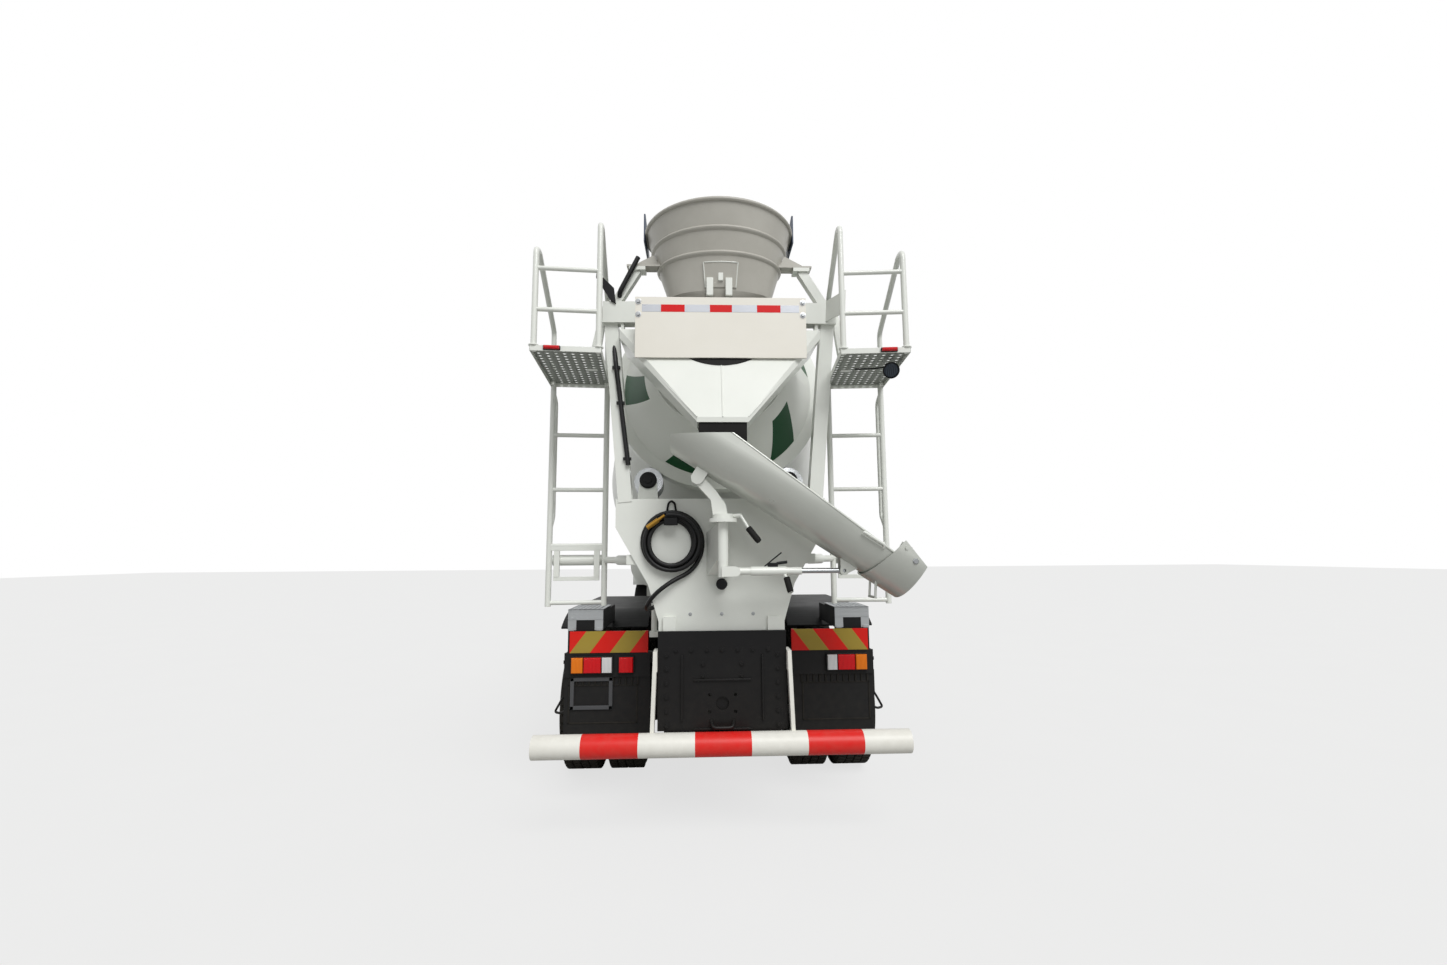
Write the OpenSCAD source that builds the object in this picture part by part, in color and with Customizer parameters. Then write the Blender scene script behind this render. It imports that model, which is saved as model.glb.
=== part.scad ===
// Concrete mixer truck, three axles, cab over engine.
// X runs across the truck, Y runs forward and Z runs up. The origin is on the ground, under
// the middle of the truck's box. Inside the modules Y is measured forward from the underrun bar.

/* [Chassis] */
// Outside width over the two frame rails
frame_w = 800; // [760:10:860]
// Height of a frame rail
rail_h = 280; // [240:10:320]
// Width of a rail's flange
flange_w = 80; // [60:5:100]
// Thickness of a rail's web and flanges
rail_t = 12; // [8:1:20]
// Height of the rails' top above the ground
rail_top = 1050; // [1000:10:1090]
// Height of the mixer's subframe on the rails
subframe_h = 110; // [80:10:140]

/* [Wheels] */
// Outside radius of a tyre
tyre_r = 530; // [500:5:545]
// Width of one tyre
tyre_w = 290; // [260:5:300]
// Radius of the rim where the tyre sits
rim_r = 286; // [270:2:300]
// Distance between the middles of the two front tyres
front_track = 2020; // [1980:10:2060]
// Distance between the middles of the left and right twin tyres
rear_track = 1770; // [1740:10:1860]
// Distance between the middles of two twin tyres
twin_pitch = 340; // [330:5:360]
// Last axle, forward of the underrun bar
last_axle_y = 1420; // [1360:10:1480]
// Distance between the two driven axles
bogie_pitch = 1350; // [1300:10:1400]
// Distance from the first driven axle to the steered axle
wheelbase = 3830; // [3780:10:3860]
// Radius of a wheel spindle
spindle_r = 45; // [35:1:55]
// Radius of a king pin
kingpin_r = 24; // [18:1:30]
// Distance of a king pin inboard of its tyre's middle
kingpin_inset = 170; // [165:1:185]

/* [Drum] */
// Slope of the drum's axis, down towards the cab
drum_tilt = 11.5; // [10:0.5:13]
// Largest radius of the drum
drum_r = 1120; // [1060:10:1140]
// Radius of the drum at its mouth
mouth_r = 460; // [440:5:480]
// Radius of the drum at its front head
head_r = 470; // [420:10:520]
// Wall of the drum
drum_wall = 10; // [8:1:20]
// Radius of the track ring that the rollers carry
ring_r = 800; // [780:5:820]
// Width of the track ring
ring_w = 90; // [70:5:110]
// Track ring's middle, forward of the underrun bar
ring_y = 800; // [780:5:840]
// Track ring's middle above the ground
ring_z = 2960; // [2930:5:2990]
// Length of the rear cone behind the track ring
mouth_len = 450; // [430:5:470]
// Length of the rear cone ahead of the track ring
rear_cone_len = 2100; // [1950:10:2200]
// Length of the drum's straight part
barrel_len = 1000; // [900:10:1050]
// Length of the front cone
front_cone_len = 1150; // [1100:10:1200]
// Radius of a carrying roller
roller_r = 105; // [95:1:115]
// Width of a carrying roller
roller_w = 120; // [100:5:140]
// Radius of a roller's pin
roller_pin_r = 30; // [24:1:36]
// Angle of a roller from the drum's lowest line
roller_angle = 34.5; // [32:0.5:38]

/* [Rear stand] */
// Thickness of the stand's rear plate
stand_plate_t = 16; // [10:1:24]
// Rear face of that plate, forward of the underrun bar
stand_y = 120; // [110:5:140]
// Half the width of the plate at its top
stand_half_w = 680; // [640:10:720]
// Height of the stand's deck above the ground
stand_top = 2070; // [2050:5:2080]
// Height of the top beam's middle above the ground
beam_z = 3318; // [3290:5:3340]
// Height of the top beam
beam_h = 145; // [120:5:160]
// Size of a post's square section
post_w = 90; // [70:5:110]

/* [Hoppers] */
// Radius of the feed hopper's rim
feed_r = 512; // [480:2:520]
// Height of the feed hopper's rim above the ground
feed_z = 3945; // [3920:5:3970]
// Wall of the hoppers
hopper_wall = 8; // [6:1:14]
// Half the width of the discharge hopper at its top
hopper_half_w = 660; // [640:5:665]
// Height of the discharge hopper's top
hopper_top = 3180; // [3150:5:3200]
// Height of the discharge hopper's outlet
outlet_z = 2480; // [2475:1:2490]

/* [Chute] */
// Swing axis, forward of the underrun bar
swing_y = -200; // [-230:5:-180]
// Radius of the chute's round bottom
chute_r = 210; // [200:5:225]
// Wall of the chute
chute_wall = 8; // [5:1:12]
// Slope of the stowed chute
chute_slope = 32.5; // [32:0.5:36]
// Length of the chute down its slope
chute_len = 1245; // [1220:5:1270]
// Radius of the swing shaft
swing_shaft_r = 23; // [20:1:26]
// Radius of the chute's tilt pin
tilt_pin_r = 15; // [12:1:20]
// Distance from the strut's foot to its eye
strut_len = 680; // [660:5:690]
// Radius of the strut's barrel
strut_r = 22; // [20:1:26]
// Radius of the strut's rod
strut_rod_r = 15; // [13:1:17]
// Length of the chute's end flap
flap_len = 250; // [240:5:260]

/* [Ladders] */
// Width of a ladder over its rails
ladder_w = 420; // [380:10:450]
// Middle of a ladder from the truck's middle
ladder_x = 1000; // [980:5:1010]
// Ladder's plane, forward of the underrun bar
ladder_y = 500; // [480:5:520]
// Height of a ladder's lowest rung
ladder_foot = 1385; // [1370:5:1400]
// Distance between rungs
rung_pitch = 393; // [370:1:395]
// Height of the platforms
platform_z = 2950; // [2930:5:2970]
// Length of a platform
platform_len = 780; // [720:10:800]
// Radius of the ladders' and handrails' tube
tube_r = 20; // [16:1:24]
// Angle by which each ladder and platform turns in
ladder_toe = 5; // [0:0.5:6]

/* [Cab] */
// Width of the cab
cab_w = 2480; // [2440:10:2500]
// Back of the cab, forward of the underrun bar
cab_back_y = 6000; // [5960:10:6040]
// Length of the cab
cab_len = 1920; // [1880:10:1960]
// Underside of the cab floor
cab_floor_z = 1220; // [1215:5:1240]
// Top of the cab roof
cab_top_z = 2880; // [2850:10:2950]
// Thickness of the cab's walls and doors
cab_wall = 60; // [40:5:80]
// Length of a door
door_len = 980; // [940:10:1000]
// Gap round a door
door_gap = 6; // [5:0.5:8]
// Lower edge of the cab's front panel
front_panel_z = 1000; // [990:5:1020]
// Thickness of the glass
glass_t = 8; // [5:1:12]

/* [Underrun bar] */
// Length of the bar
bar_len = 2266; // [2200:2:2400]
// Radius of the bar
bar_r = 70; // [55:1:80]
// Height of the bar's middle
bar_z = 580; // [560:5:600]

/* [Hose] */
// Outside diameter of the wash hose
hose_d = 28; // [24:1:30]
// Inner radius of the hanging coil
coil_in_r = 125; // [122:1:130]
// Outer radius of the hanging coil
coil_out_r = 214; // [210:1:216]
// Depth of the hanging coil
coil_depth = 64; // [60:1:70]

/* [Clearances] */
// Radial gap of a shaft or pin in its bore
run_gap = 0.1; // [0.05:0.05:0.1]
// Gap between two pieces that slide or roll past each other
seat_gap = 0.4; // [0.3:0.1:0.6]
// Gap between a tyre and its rim
bead_gap = 0.3; // [0.2:0.1:0.5]

/* [Hidden] */
$fn = 64;

// Colours
white_paint = "#e6e8e2";
black_steel = "#1c1c1e";
dark_plastic = "#202224";
rubber = "#161616";
brass = "#b08d4f";
lamp_red = "#c81e1e";

// Places along the truck, forward of the underrun bar
mid_axle_y = last_axle_y + bogie_pitch;
front_axle_y = mid_axle_y + wheelbase;
cab_front_y = cab_back_y + cab_len;
bumper_front_y = cab_front_y + 40;
flap_gap = 8;
flap_wall = chute_wall;
flap_r = chute_r + flap_gap + flap_wall;
flap_pin_out = 10;
rear_end_y = swing_y - chute_r + 2 - flap_gap - flap_wall - flap_pin_out;
origin_shift = -(bumper_front_y + rear_end_y) / 2;
deck_z = rail_top + subframe_h;
frame_rear_y = 70;
frame_front_y = cab_front_y - 190;

// General helpers

// Everything is drawn from the underrun bar and moved once to the part's origin.
module from_bar() translate([0, origin_shift, 0]) children();

// A box from its lowest corner to its highest corner.
module span(low, high) translate(low) cube(high - low);

// A round bar between two points.
module rod(a, b, r) {
    d = b - a;
    length = norm(d);
    translate(a)
        rotate([0, acos(d[2] / length), atan2(d[1], d[0])])
            cylinder(r = r, h = length);
}

// A bent tube through a list of points, with a ball at each bend.
elbow = 1.05;
module bent_tube(points, r) {
    for (i = [0 : len(points) - 2])
        rod(points[i], points[i + 1], r);
    for (i = [1 : 1 : len(points) - 2])
        translate(points[i]) sphere(r = r * elbow);
}

// A square bar between two points of one XZ plane.
module strut_bar(a, b, w, depth) {
    d = b - a;
    translate(a)
        rotate([0, atan2(d[0], d[2]), 0])
            translate([-w / 2, -depth / 2, 0])
                cube([w, depth, norm(d)]);
}

module both_sides() {
    children();
    mirror([1, 0, 0]) children();
}

// side is 1 on the right and -1 on the left.
module on_side(side) {
    if (side > 0) children();
    else mirror([1, 0, 0]) children();
}

// Turns +Z to +X, for wheels and axles.
module along_x() rotate([0, 90, 0]) children();

// Points of an arc in a plane, from angle a0 to a1.
function arc(cx, cy, r, a0, a1, steps) =
    [for (i = [0 : steps]) let (a = a0 + (a1 - a0) * i / steps) [cx + r * cos(a), cy + r * sin(a)]];

function reversed(list) = [for (i = [len(list) - 1 : -1 : 0]) list[i]];

// A plate drawn in the YZ plane and given a width along X from x0 to x1.
module side_profile(x0, x1) {
    translate([x0, 0, 0])
        rotate([90, 0, 90])
            linear_extrude(height = x1 - x0) children();
}

// A plate drawn in the XZ plane and given a depth along Y from y0 to y1.
module rear_profile(y0, y1) {
    translate([0, y1, 0])
        rotate([90, 0, 0])
            linear_extrude(height = y1 - y0) children();
}

// Frame

cross_member_t = 70;
cross_member_ys = [500, 2095, 3600, 4500, 5150];
cross_member_h = 120;
end_plate_t = 20;
end_plate_low = 600;
end_plate_top = deck_z + 76;
cab_hinge_y = cab_front_y - 120;
cab_hinge_z = front_panel_z;
cab_pin_r = 20;
cab_pin_x = frame_w / 2 - flange_w / 2;
hinge_lug_w = 50;

rail_rear_y = frame_rear_y + end_plate_t + seat_gap;
web_x = frame_w / 2 - rail_t - seat_gap;
module rail() {
    x0 = frame_w / 2 - flange_w;
    difference() {
        span([x0, rail_rear_y, rail_top - rail_h], [frame_w / 2, frame_front_y, rail_top]);
        span([x0 - 1, rail_rear_y - 1, rail_top - rail_h + rail_t],
             [frame_w / 2 - rail_t, frame_front_y + 1, rail_top - rail_t]);
    }
    // mixer subframe on the rail
    span([x0, rail_rear_y, rail_top], [frame_w / 2, cab_back_y - 250, deck_z]);
}

// Bracket at the rail's front end that carries the cab's hinge pin.
module cab_hinge_bracket() {
    span([cab_pin_x - 16, frame_front_y - 200, rail_top - rail_h + rail_t],
         [cab_pin_x + 16, cab_hinge_y + 30, cab_hinge_z + 30]);
    rod([cab_pin_x - 16 - hinge_lug_w, cab_hinge_y, cab_hinge_z],
        [cab_pin_x + 16 + hinge_lug_w, cab_hinge_y, cab_hinge_z], cab_pin_r);
}

// Cross beam behind the cab that its back rests on.
cab_rest_y = cab_back_y + 80;
module cab_rest() {
    for (side = [-1, 1])
        on_side(side)
            span([frame_w / 2 - flange_w, cab_rest_y - 40, rail_top - 1],
                 [frame_w / 2, cab_rest_y + 40, cab_floor_z - seat_gap]);
    rest_x = frame_w / 2 - flange_w - seat_gap;
    span([-rest_x, cab_rest_y - 30, rail_top + 40], [rest_x, cab_rest_y + 30, rail_top + 110]);
}

module frame() color(black_steel) from_bar() {
    both_sides() rail();
    both_sides() cab_hinge_bracket();
    for (y = cross_member_ys)
        span([-web_x, y, rail_top - 40 - cross_member_h], [web_x, y + cross_member_t, rail_top - 40]);
    // rear end plate with the towing socket
    difference() {
        union() {
            span([-frame_w / 2, frame_rear_y, end_plate_low + 40],
                 [frame_w / 2, frame_rear_y + end_plate_t, end_plate_top]);
            span([-frame_w / 2 + 40, frame_rear_y, end_plate_low],
                 [frame_w / 2 - 40, frame_rear_y + end_plate_t, end_plate_low + 41]);
        }
        translate([0, frame_rear_y - 1, tow_z])
            rotate([-90, 0, 0]) cylinder(r = tow_hole_r, h = end_plate_t + 2);
        for (x = [-1, 1], z = [-1, 1])
            translate([x * tow_bolt_x / 2, frame_rear_y - 1, tow_z + z * tow_bolt_z / 2])
                rotate([-90, 0, 0]) cylinder(r = tow_bolt_r, h = end_plate_t + 2);
    }
    // front cross tube under the radiator
    front_tube_x = cab_pin_x - 16 - seat_gap;
    span([-front_tube_x, frame_front_y - 120, rail_top - rail_h + 30],
         [front_tube_x, frame_front_y - 50, rail_top - rail_h + 130]);
    cab_rest();
}

// Towing coupling face in the end plate
tow_z = 800;
tow_hole_r = 40;
tow_bolt_x = 160;
tow_bolt_z = 100;
tow_bolt_r = 10.5;

// Powertrain: engine block, gearbox and propeller shafts

engine_len = 1250;
engine_w = 600;
engine_back_y = 6200;
gearbox_len = 750;
gearbox_r = 220;
driveline_z = 700;
shaft_r = 55;
diff_r = 210;

module powertrain() color("dimgray") from_bar() {
    span([-engine_w / 2, engine_back_y, 590], [engine_w / 2, engine_back_y + engine_len, 1160]);
    span([-engine_w / 2 + 60, engine_back_y + 60, 500], [engine_w / 2 - 60, front_axle_y - 160, 591]);
    // engine mounts reach the rails' webs
    for (y = [engine_back_y + 150, engine_back_y + engine_len - 200])
        span([-frame_w / 2 + rail_t, y, 830], [frame_w / 2 - rail_t, y + 90, 900]);
    rod([0, engine_back_y - gearbox_len, driveline_z + 100], [0, engine_back_y + 1, driveline_z + 100],
        gearbox_r);
    rod([0, mid_axle_y + diff_r + seat_gap, axle_z + 90],
        [0, engine_back_y - gearbox_len + 1, driveline_z + 100], shaft_r);
}

// Axles and springs

axle_z = tyre_r;
kingpin_x = front_track / 2 - kingpin_inset;
boss_r = 48;
boss_h = 150;
beam_drop = 110;
spring_w = 76;
spring_x = frame_w / 2 + spring_w / 2 + 4;

module front_axle() color(black_steel) from_bar() translate([0, front_axle_y, axle_z]) {
    difference() {
        union() {
            // dropped middle of the forged beam
            span([-kingpin_x + 230, -50, -beam_drop - 60], [kingpin_x - 230, 50, -beam_drop + 50]);
            both_sides() {
                strut_bar([kingpin_x - 250, 0, -beam_drop], [kingpin_x - 30, 0, 0], 90, 90);
                translate([kingpin_x, 0, -boss_h / 2]) cylinder(r = boss_r, h = boss_h);
                // spring seat
                span([spring_x - 55, -110, -beam_drop + 49], [spring_x + 55, 110, -beam_drop + 90]);
            }
        }
        both_sides()
            translate([kingpin_x, 0, -boss_h])
                cylinder(r = kingpin_r + run_gap, h = 2 * boss_h);
    }
}

// One driven axle: banjo housing, tubes, spindles and input nose.
housing_r = 75;
rear_hub_x = rear_track / 2;
rear_spindle_end = rear_hub_x + 90;
module rear_axle(y) {
    translate([0, y, axle_z]) {
        sphere(r = diff_r);
        rod([-rear_hub_x + 130, 0, 0], [rear_hub_x - 130, 0, 0], housing_r);
        rod([-rear_spindle_end, 0, 0], [rear_spindle_end, 0, 0], spindle_r);
        both_sides() {
            // brake drum backing and spring seat
            rod([rear_hub_x - 165, 0, 0], [rear_hub_x - 129, 0, 0], 150);
            span([spring_x - 50, -90, 60], [spring_x + 50, 90, 110]);
        }
    }
}

module rear_axles() color(black_steel) from_bar() {
    rear_axle(last_axle_y);
    rear_axle(mid_axle_y);
    // shaft between the two axles
    rod([0, last_axle_y + diff_r - 10, axle_z + 60], [0, mid_axle_y - diff_r + 10, axle_z + 60], shaft_r - 10);
}

// A leaf pack as stacked leaves, each shorter than the one above or below it.
module leaf_pack(y, z, length, leaves, leaf_t, step) {
    for (i = [0 : leaves - 1])
        span([spring_x - spring_w / 2, y - length / 2 + i * step, z + i * leaf_t],
             [spring_x + spring_w / 2, y + length / 2 - i * step, z + (i + 1) * leaf_t]);
}

front_leaf_z = axle_z - beam_drop + 90;
front_leaves = 9;
rear_leaves = 10;
leaf_t = 14;
trunnion_y = (last_axle_y + mid_axle_y) / 2;
rear_leaf_z = axle_z + 110;

module leaf_springs() color(black_steel) from_bar() both_sides() {
    // front pack, turned over so that the long leaf is on top
    for (i = [0 : front_leaves - 1])
        span([spring_x - spring_w / 2, front_axle_y - 260 - i * 55, front_leaf_z + i * leaf_t],
             [spring_x + spring_w / 2, front_axle_y + 260 + i * 55, front_leaf_z + (i + 1) * leaf_t]);
    // hangers from the rail to the long leaf's ends
    for (end = [-1, 1])
        span([frame_w / 2, front_axle_y + end * 660 - 40, front_leaf_z + (front_leaves - 1) * leaf_t],
             [spring_x + spring_w / 2, front_axle_y + end * 660 + 40, rail_top - 60]);
    leaf_pack(trunnion_y, rear_leaf_z, bogie_pitch + 180, rear_leaves, leaf_t, 62);
    // trunnion bracket from the rail down onto the pack's middle
    span([frame_w / 2, trunnion_y - 150, rear_leaf_z + rear_leaves * leaf_t],
         [spring_x + spring_w / 2, trunnion_y + 150, rail_top - 40]);
}

// Knuckles

front_hub_x = front_track / 2;
front_spindle_end = front_hub_x + 60;
ear_h = 40;

module knuckle(side) color("dimgray") from_bar()
    on_side(side) translate([0, front_axle_y, axle_z]) {
        translate([kingpin_x, 0, -boss_h / 2 - ear_h]) cylinder(r = kingpin_r, h = boss_h + 2 * ear_h);
        for (end = [-1, 1])
            span([kingpin_x - 40, -40, end * (boss_h / 2 + seat_gap + ear_h / 2) - ear_h / 2],
                 [kingpin_x + 90, 40, end * (boss_h / 2 + seat_gap + ear_h / 2) + ear_h / 2]);
        span([kingpin_x + boss_r + 12, -60, -boss_h / 2 - ear_h], [kingpin_x + 90, 60, boss_h / 2 + ear_h]);
        rod([kingpin_x + 80, 0, 0], [front_spindle_end, 0, 0], spindle_r);
    }

// Wheels

shoulder = 34;
groove_d = 14;
groove_w = 11;
tread_w = tyre_w - 2 * shoulder + 20;
sidewall_r = rim_r + 0.5 * (tyre_r - rim_r);

// Half section of a tyre, from the middle of the tread to the bead, with grooves round it.
function half_tyre() = [
    [tyre_r, 0], [tyre_r, tread_w * 0.14], [tyre_r - groove_d, tread_w * 0.14 + 2],
    [tyre_r - groove_d, tread_w * 0.14 + groove_w - 2], [tyre_r, tread_w * 0.14 + groove_w],
    [tyre_r - 2, tread_w * 0.34], [tyre_r - 2 - groove_d, tread_w * 0.34 + 2],
    [tyre_r - 2 - groove_d, tread_w * 0.34 + groove_w - 2], [tyre_r - 2, tread_w * 0.34 + groove_w],
    [tyre_r - 8, tread_w / 2], [tyre_r - 30, tyre_w / 2 - 14], [tyre_r - 62, tyre_w / 2 - 5],
    [sidewall_r, tyre_w / 2], [rim_r + 60, tyre_w / 2 - 10], [rim_r + 26, tyre_w / 2 - 24],
    [rim_r + bead_gap, tyre_w / 2 - 34]
];

module tyre() {
    upper = half_tyre();
    lower = [for (p = reversed(upper)) [p[0], -p[1]]];
    rotate_extrude() polygon(concat(upper, lower));
}

barrel_t = 14;
flange_up = 16;
rim_w = tyre_w - 50;
hand_hole_r = 26;
hand_hole_at = 200;
hand_holes = 10;
hub_r = 125;

// Rim barrel with its two lips, round the wheel's own axis.
module rim_barrel() {
    rotate_extrude()
        polygon([
            [rim_r - barrel_t, -rim_w / 2], [rim_r, -rim_w / 2], [rim_r, rim_w / 2],
            [rim_r - barrel_t, rim_w / 2]
        ]);
    for (end = [-1, 1])
        translate([0, 0, end * (rim_w / 2 + 4) - 4])
            difference() {
                cylinder(r = rim_r + flange_up, h = 8);
                translate([0, 0, -1]) cylinder(r = rim_r - barrel_t, h = 10);
            }
}

// Wheel disc: flat middle at z0 and a cone out to the barrel at z1.
module wheel_disc(z0, z1) {
    flat_r = 240;
    t = 14;
    difference() {
        rotate_extrude()
            polygon([
                [0, z0], [flat_r, z0], [rim_r - barrel_t + 2, z1], [rim_r - barrel_t + 2, z1 + t],
                [flat_r, z0 + t], [0, z0 + t]
            ]);
        for (i = [0 : hand_holes - 1])
            rotate([0, 0, i * 360 / hand_holes])
                translate([hand_hole_at, 0, z0 - 1]) cylinder(r = hand_hole_r, h = t + 2);
    }
}

// Front wheel: the disc stands out past the tyre's middle.
module front_rim(side) from_bar() on_side(side)
    translate([front_hub_x, front_axle_y, axle_z]) along_x() {
        difference() {
            union() {
                rim_barrel();
                wheel_disc(70, 40);
                translate([0, 0, -70]) cylinder(r = hub_r, h = 185);
                translate([0, 0, 110]) cylinder(r1 = 95, r2 = 80, h = 60);
            }
            translate([0, 0, -71]) cylinder(r = spindle_r + run_gap, h = front_spindle_end - front_hub_x + 71 + 6);
        }
    }

module front_tyre(side) from_bar() on_side(side)
    translate([front_hub_x, front_axle_y, axle_z]) along_x() tyre();

// Twin wheels: both discs lie against each other in the middle.
module twin_rims(y, side) from_bar() on_side(side)
    translate([rear_hub_x, y, axle_z]) along_x() {
        difference() {
            union() {
                for (end = [-1, 1]) translate([0, 0, end * twin_pitch / 2]) rim_barrel();
                wheel_disc(0, 70);
                mirror([0, 0, 1]) wheel_disc(0, 70);
                translate([0, 0, -110]) cylinder(r = hub_r, h = 260);
                translate([0, 0, 140]) cylinder(r = 90, h = 75);
            }
            translate([0, 0, -111])
                cylinder(r = spindle_r + run_gap, h = rear_spindle_end - rear_hub_x + 111 + 6);
        }
    }

module twin_tyres(y, side) from_bar() on_side(side)
    translate([rear_hub_x, y, axle_z]) along_x()
        for (end = [-1, 1]) translate([0, 0, end * twin_pitch / 2]) tyre();

// Drum: local +Z runs forward along the drum's axis from the track ring, local +Y points down

module drum_frame()
    from_bar() translate([0, ring_y, ring_z]) rotate([-(90 + drum_tilt), 0, 0]) children();

shell_at_ring = ring_r - 60;
barrel_z = rear_cone_len;
front_cone_z = barrel_z + barrel_len;
head_z = front_cone_z + front_cone_len;
flange_r = 260;
flange_t = 60;
lip_r = 14;

module drum_rear_shell() color(white_paint) drum_frame()
    rotate_extrude()
        polygon([
            [mouth_r - drum_wall, -mouth_len], [mouth_r + lip_r, -mouth_len],
            [mouth_r + lip_r, -mouth_len + 2 * lip_r], [mouth_r + 14, -mouth_len + 2 * lip_r],
            [shell_at_ring - 20, -ring_w / 2 - 10], [ring_r, -ring_w / 2], [ring_r, ring_w / 2],
            [shell_at_ring + 4, ring_w / 2 + 10], [drum_r, barrel_z], [drum_r - drum_wall, barrel_z],
            [shell_at_ring - drum_wall, 20], [shell_at_ring - 20 - drum_wall, -ring_w / 2 - 10]
        ]);

module drum_front_shell() color(white_paint) drum_frame() {
    rotate_extrude()
        polygon([
            [drum_r - drum_wall, barrel_z], [drum_r, barrel_z], [drum_r, front_cone_z],
            [head_r, head_z], [flange_r, head_z], [flange_r, head_z + flange_t], [0, head_z + flange_t],
            [0, head_z - 2 * drum_wall], [head_r - drum_wall, head_z - drum_wall],
            [drum_r - drum_wall, front_cone_z]
        ]);
}

// Front pedestal with the drum's gearbox

gearbox_z = head_z + flange_t + seat_gap;
drum_gear_len = 420;
gear_case_r = 250;
pedestal_y = ring_y + (gearbox_z + drum_gear_len / 2) * cos(drum_tilt);
pedestal_top = ring_z - (gearbox_z + drum_gear_len / 2) * sin(drum_tilt);

module front_pedestal() color(white_paint) {
    drum_frame() {
        translate([0, 0, gearbox_z]) cylinder(r = gear_case_r, h = 150);
        translate([0, 0, gearbox_z + 149]) cylinder(r = gear_case_r - 60, h = drum_gear_len - 149);
    }
    from_bar() {
        // saddle under the gearbox, legs and foot plates
        span([-330, pedestal_y - 110, pedestal_top - 330], [330, pedestal_y + 90, pedestal_top - 120]);
        both_sides() {
            strut_bar([frame_w / 2 - flange_w / 2, pedestal_y - 10, deck_z + 10],
                      [230, pedestal_y - 10, pedestal_top - 200], 120, 170);
            span([frame_w / 2 - flange_w, pedestal_y - 250, deck_z],
                 [frame_w / 2, pedestal_y + 200, deck_z + 24]);
        }
    }
}

// Rear stand

plate_low_half_w = 400;
plate_shoulder_z = 1885;
plate_waist_z = 1290;
plate_mid_half_w = 470;
plate_mid_z = 1525;
post_foot_x = 620;
post_head_x = 735;
post_y = 130;
beam_depth = 90;
beam_in_x = 400;
sign_y = -106;
sleeve_r = 31;
sleeve_low = 1668;
index_z = 1900;
index_r = 84;
index_t = 22;
roller_dist = ring_r + roller_r + seat_gap;
cheek_t = 18;
roller_z0 = ring_z - roller_dist * cos(roller_angle) * cos(drum_tilt);
roller_y0 = ring_y - roller_dist * cos(roller_angle) * sin(drum_tilt);

function stand_outline() = [
    [-plate_low_half_w, deck_z], [plate_low_half_w, deck_z], [plate_low_half_w, plate_waist_z],
    [plate_mid_half_w, plate_mid_z], [stand_half_w, plate_shoulder_z], [stand_half_w, stand_top],
    [-stand_half_w, stand_top], [-stand_half_w, plate_shoulder_z], [-plate_mid_half_w, plate_mid_z],
    [-plate_low_half_w, plate_waist_z]
];

// Two cheeks and a pin for one roller, on the stand's deck.
module roller_carrier(side) {
    x = side * roller_dist * sin(roller_angle);
    cheek_y = roller_w / 2 + 6;
    translate([x, roller_y0, roller_z0]) {
        rotate([-drum_tilt, 0, 0])
            for (end = [-1, 1])
                translate([0, end * (cheek_y + cheek_t / 2), 0])
                    rear_profile(-cheek_t / 2, cheek_t / 2)
                        polygon(concat([[-80, stand_top - 40 - roller_z0], [80, stand_top - 40 - roller_z0]],
                                       arc(0, 0, 60, 15, 165, 10)));
        rotate([-(90 + drum_tilt), 0, 0])
            translate([0, 0, -cheek_y - cheek_t - 8]) cylinder(r = roller_pin_r, h = 2 * (cheek_y + cheek_t + 8));
    }
}

// Fixed sleeve of the swing shaft, with its index plate and bracket.
module swing_sleeve() {
    difference() {
        union() {
            translate([0, swing_y, sleeve_low]) cylinder(r = sleeve_r, h = index_z - sleeve_low);
            translate([0, swing_y, index_z]) cylinder(r = index_r, h = index_t);
            intersection() {
                side_profile(-200, 200)
                    polygon([
                        [swing_y + 10, sleeve_low + 20], [stand_y + 1, 1575], [stand_y + 1, 1850],
                        [swing_y + 10, index_z - 4]
                    ]);
                translate([0, 0, 1500]) linear_extrude(height = 500)
                    polygon([[-26, swing_y], [26, swing_y], [50, stand_y + 2], [-96, stand_y + 2]]);
            }
        }
        translate([0, swing_y, sleeve_low - 1])
            cylinder(r = swing_shaft_r + run_gap, h = index_z + index_t - sleeve_low + 2);
        for (i = [0 : 11])
            translate([0, swing_y, index_z - 1])
                rotate([0, 0, i * 30 + 15])
                    translate([index_r - 16, 0, 0]) cylinder(r = 9, h = index_t + 2);
    }
}

// Struts with pads that hold the feed hopper.
feed_y = 300;
saddle_z = 3680;
saddle_x = 540;
saddle_w = 90;
module hopper_arms() both_sides() {
    strut_bar([post_head_x - 30, post_y, beam_z + beam_h / 2 - 10],
              [saddle_x + 20, post_y, saddle_z - 60], 60, 60);
    span([saddle_x - 40, post_y - saddle_w / 2, saddle_z - 64],
         [saddle_x + 70, post_y + saddle_w / 2, saddle_z - 40]);
}

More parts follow.
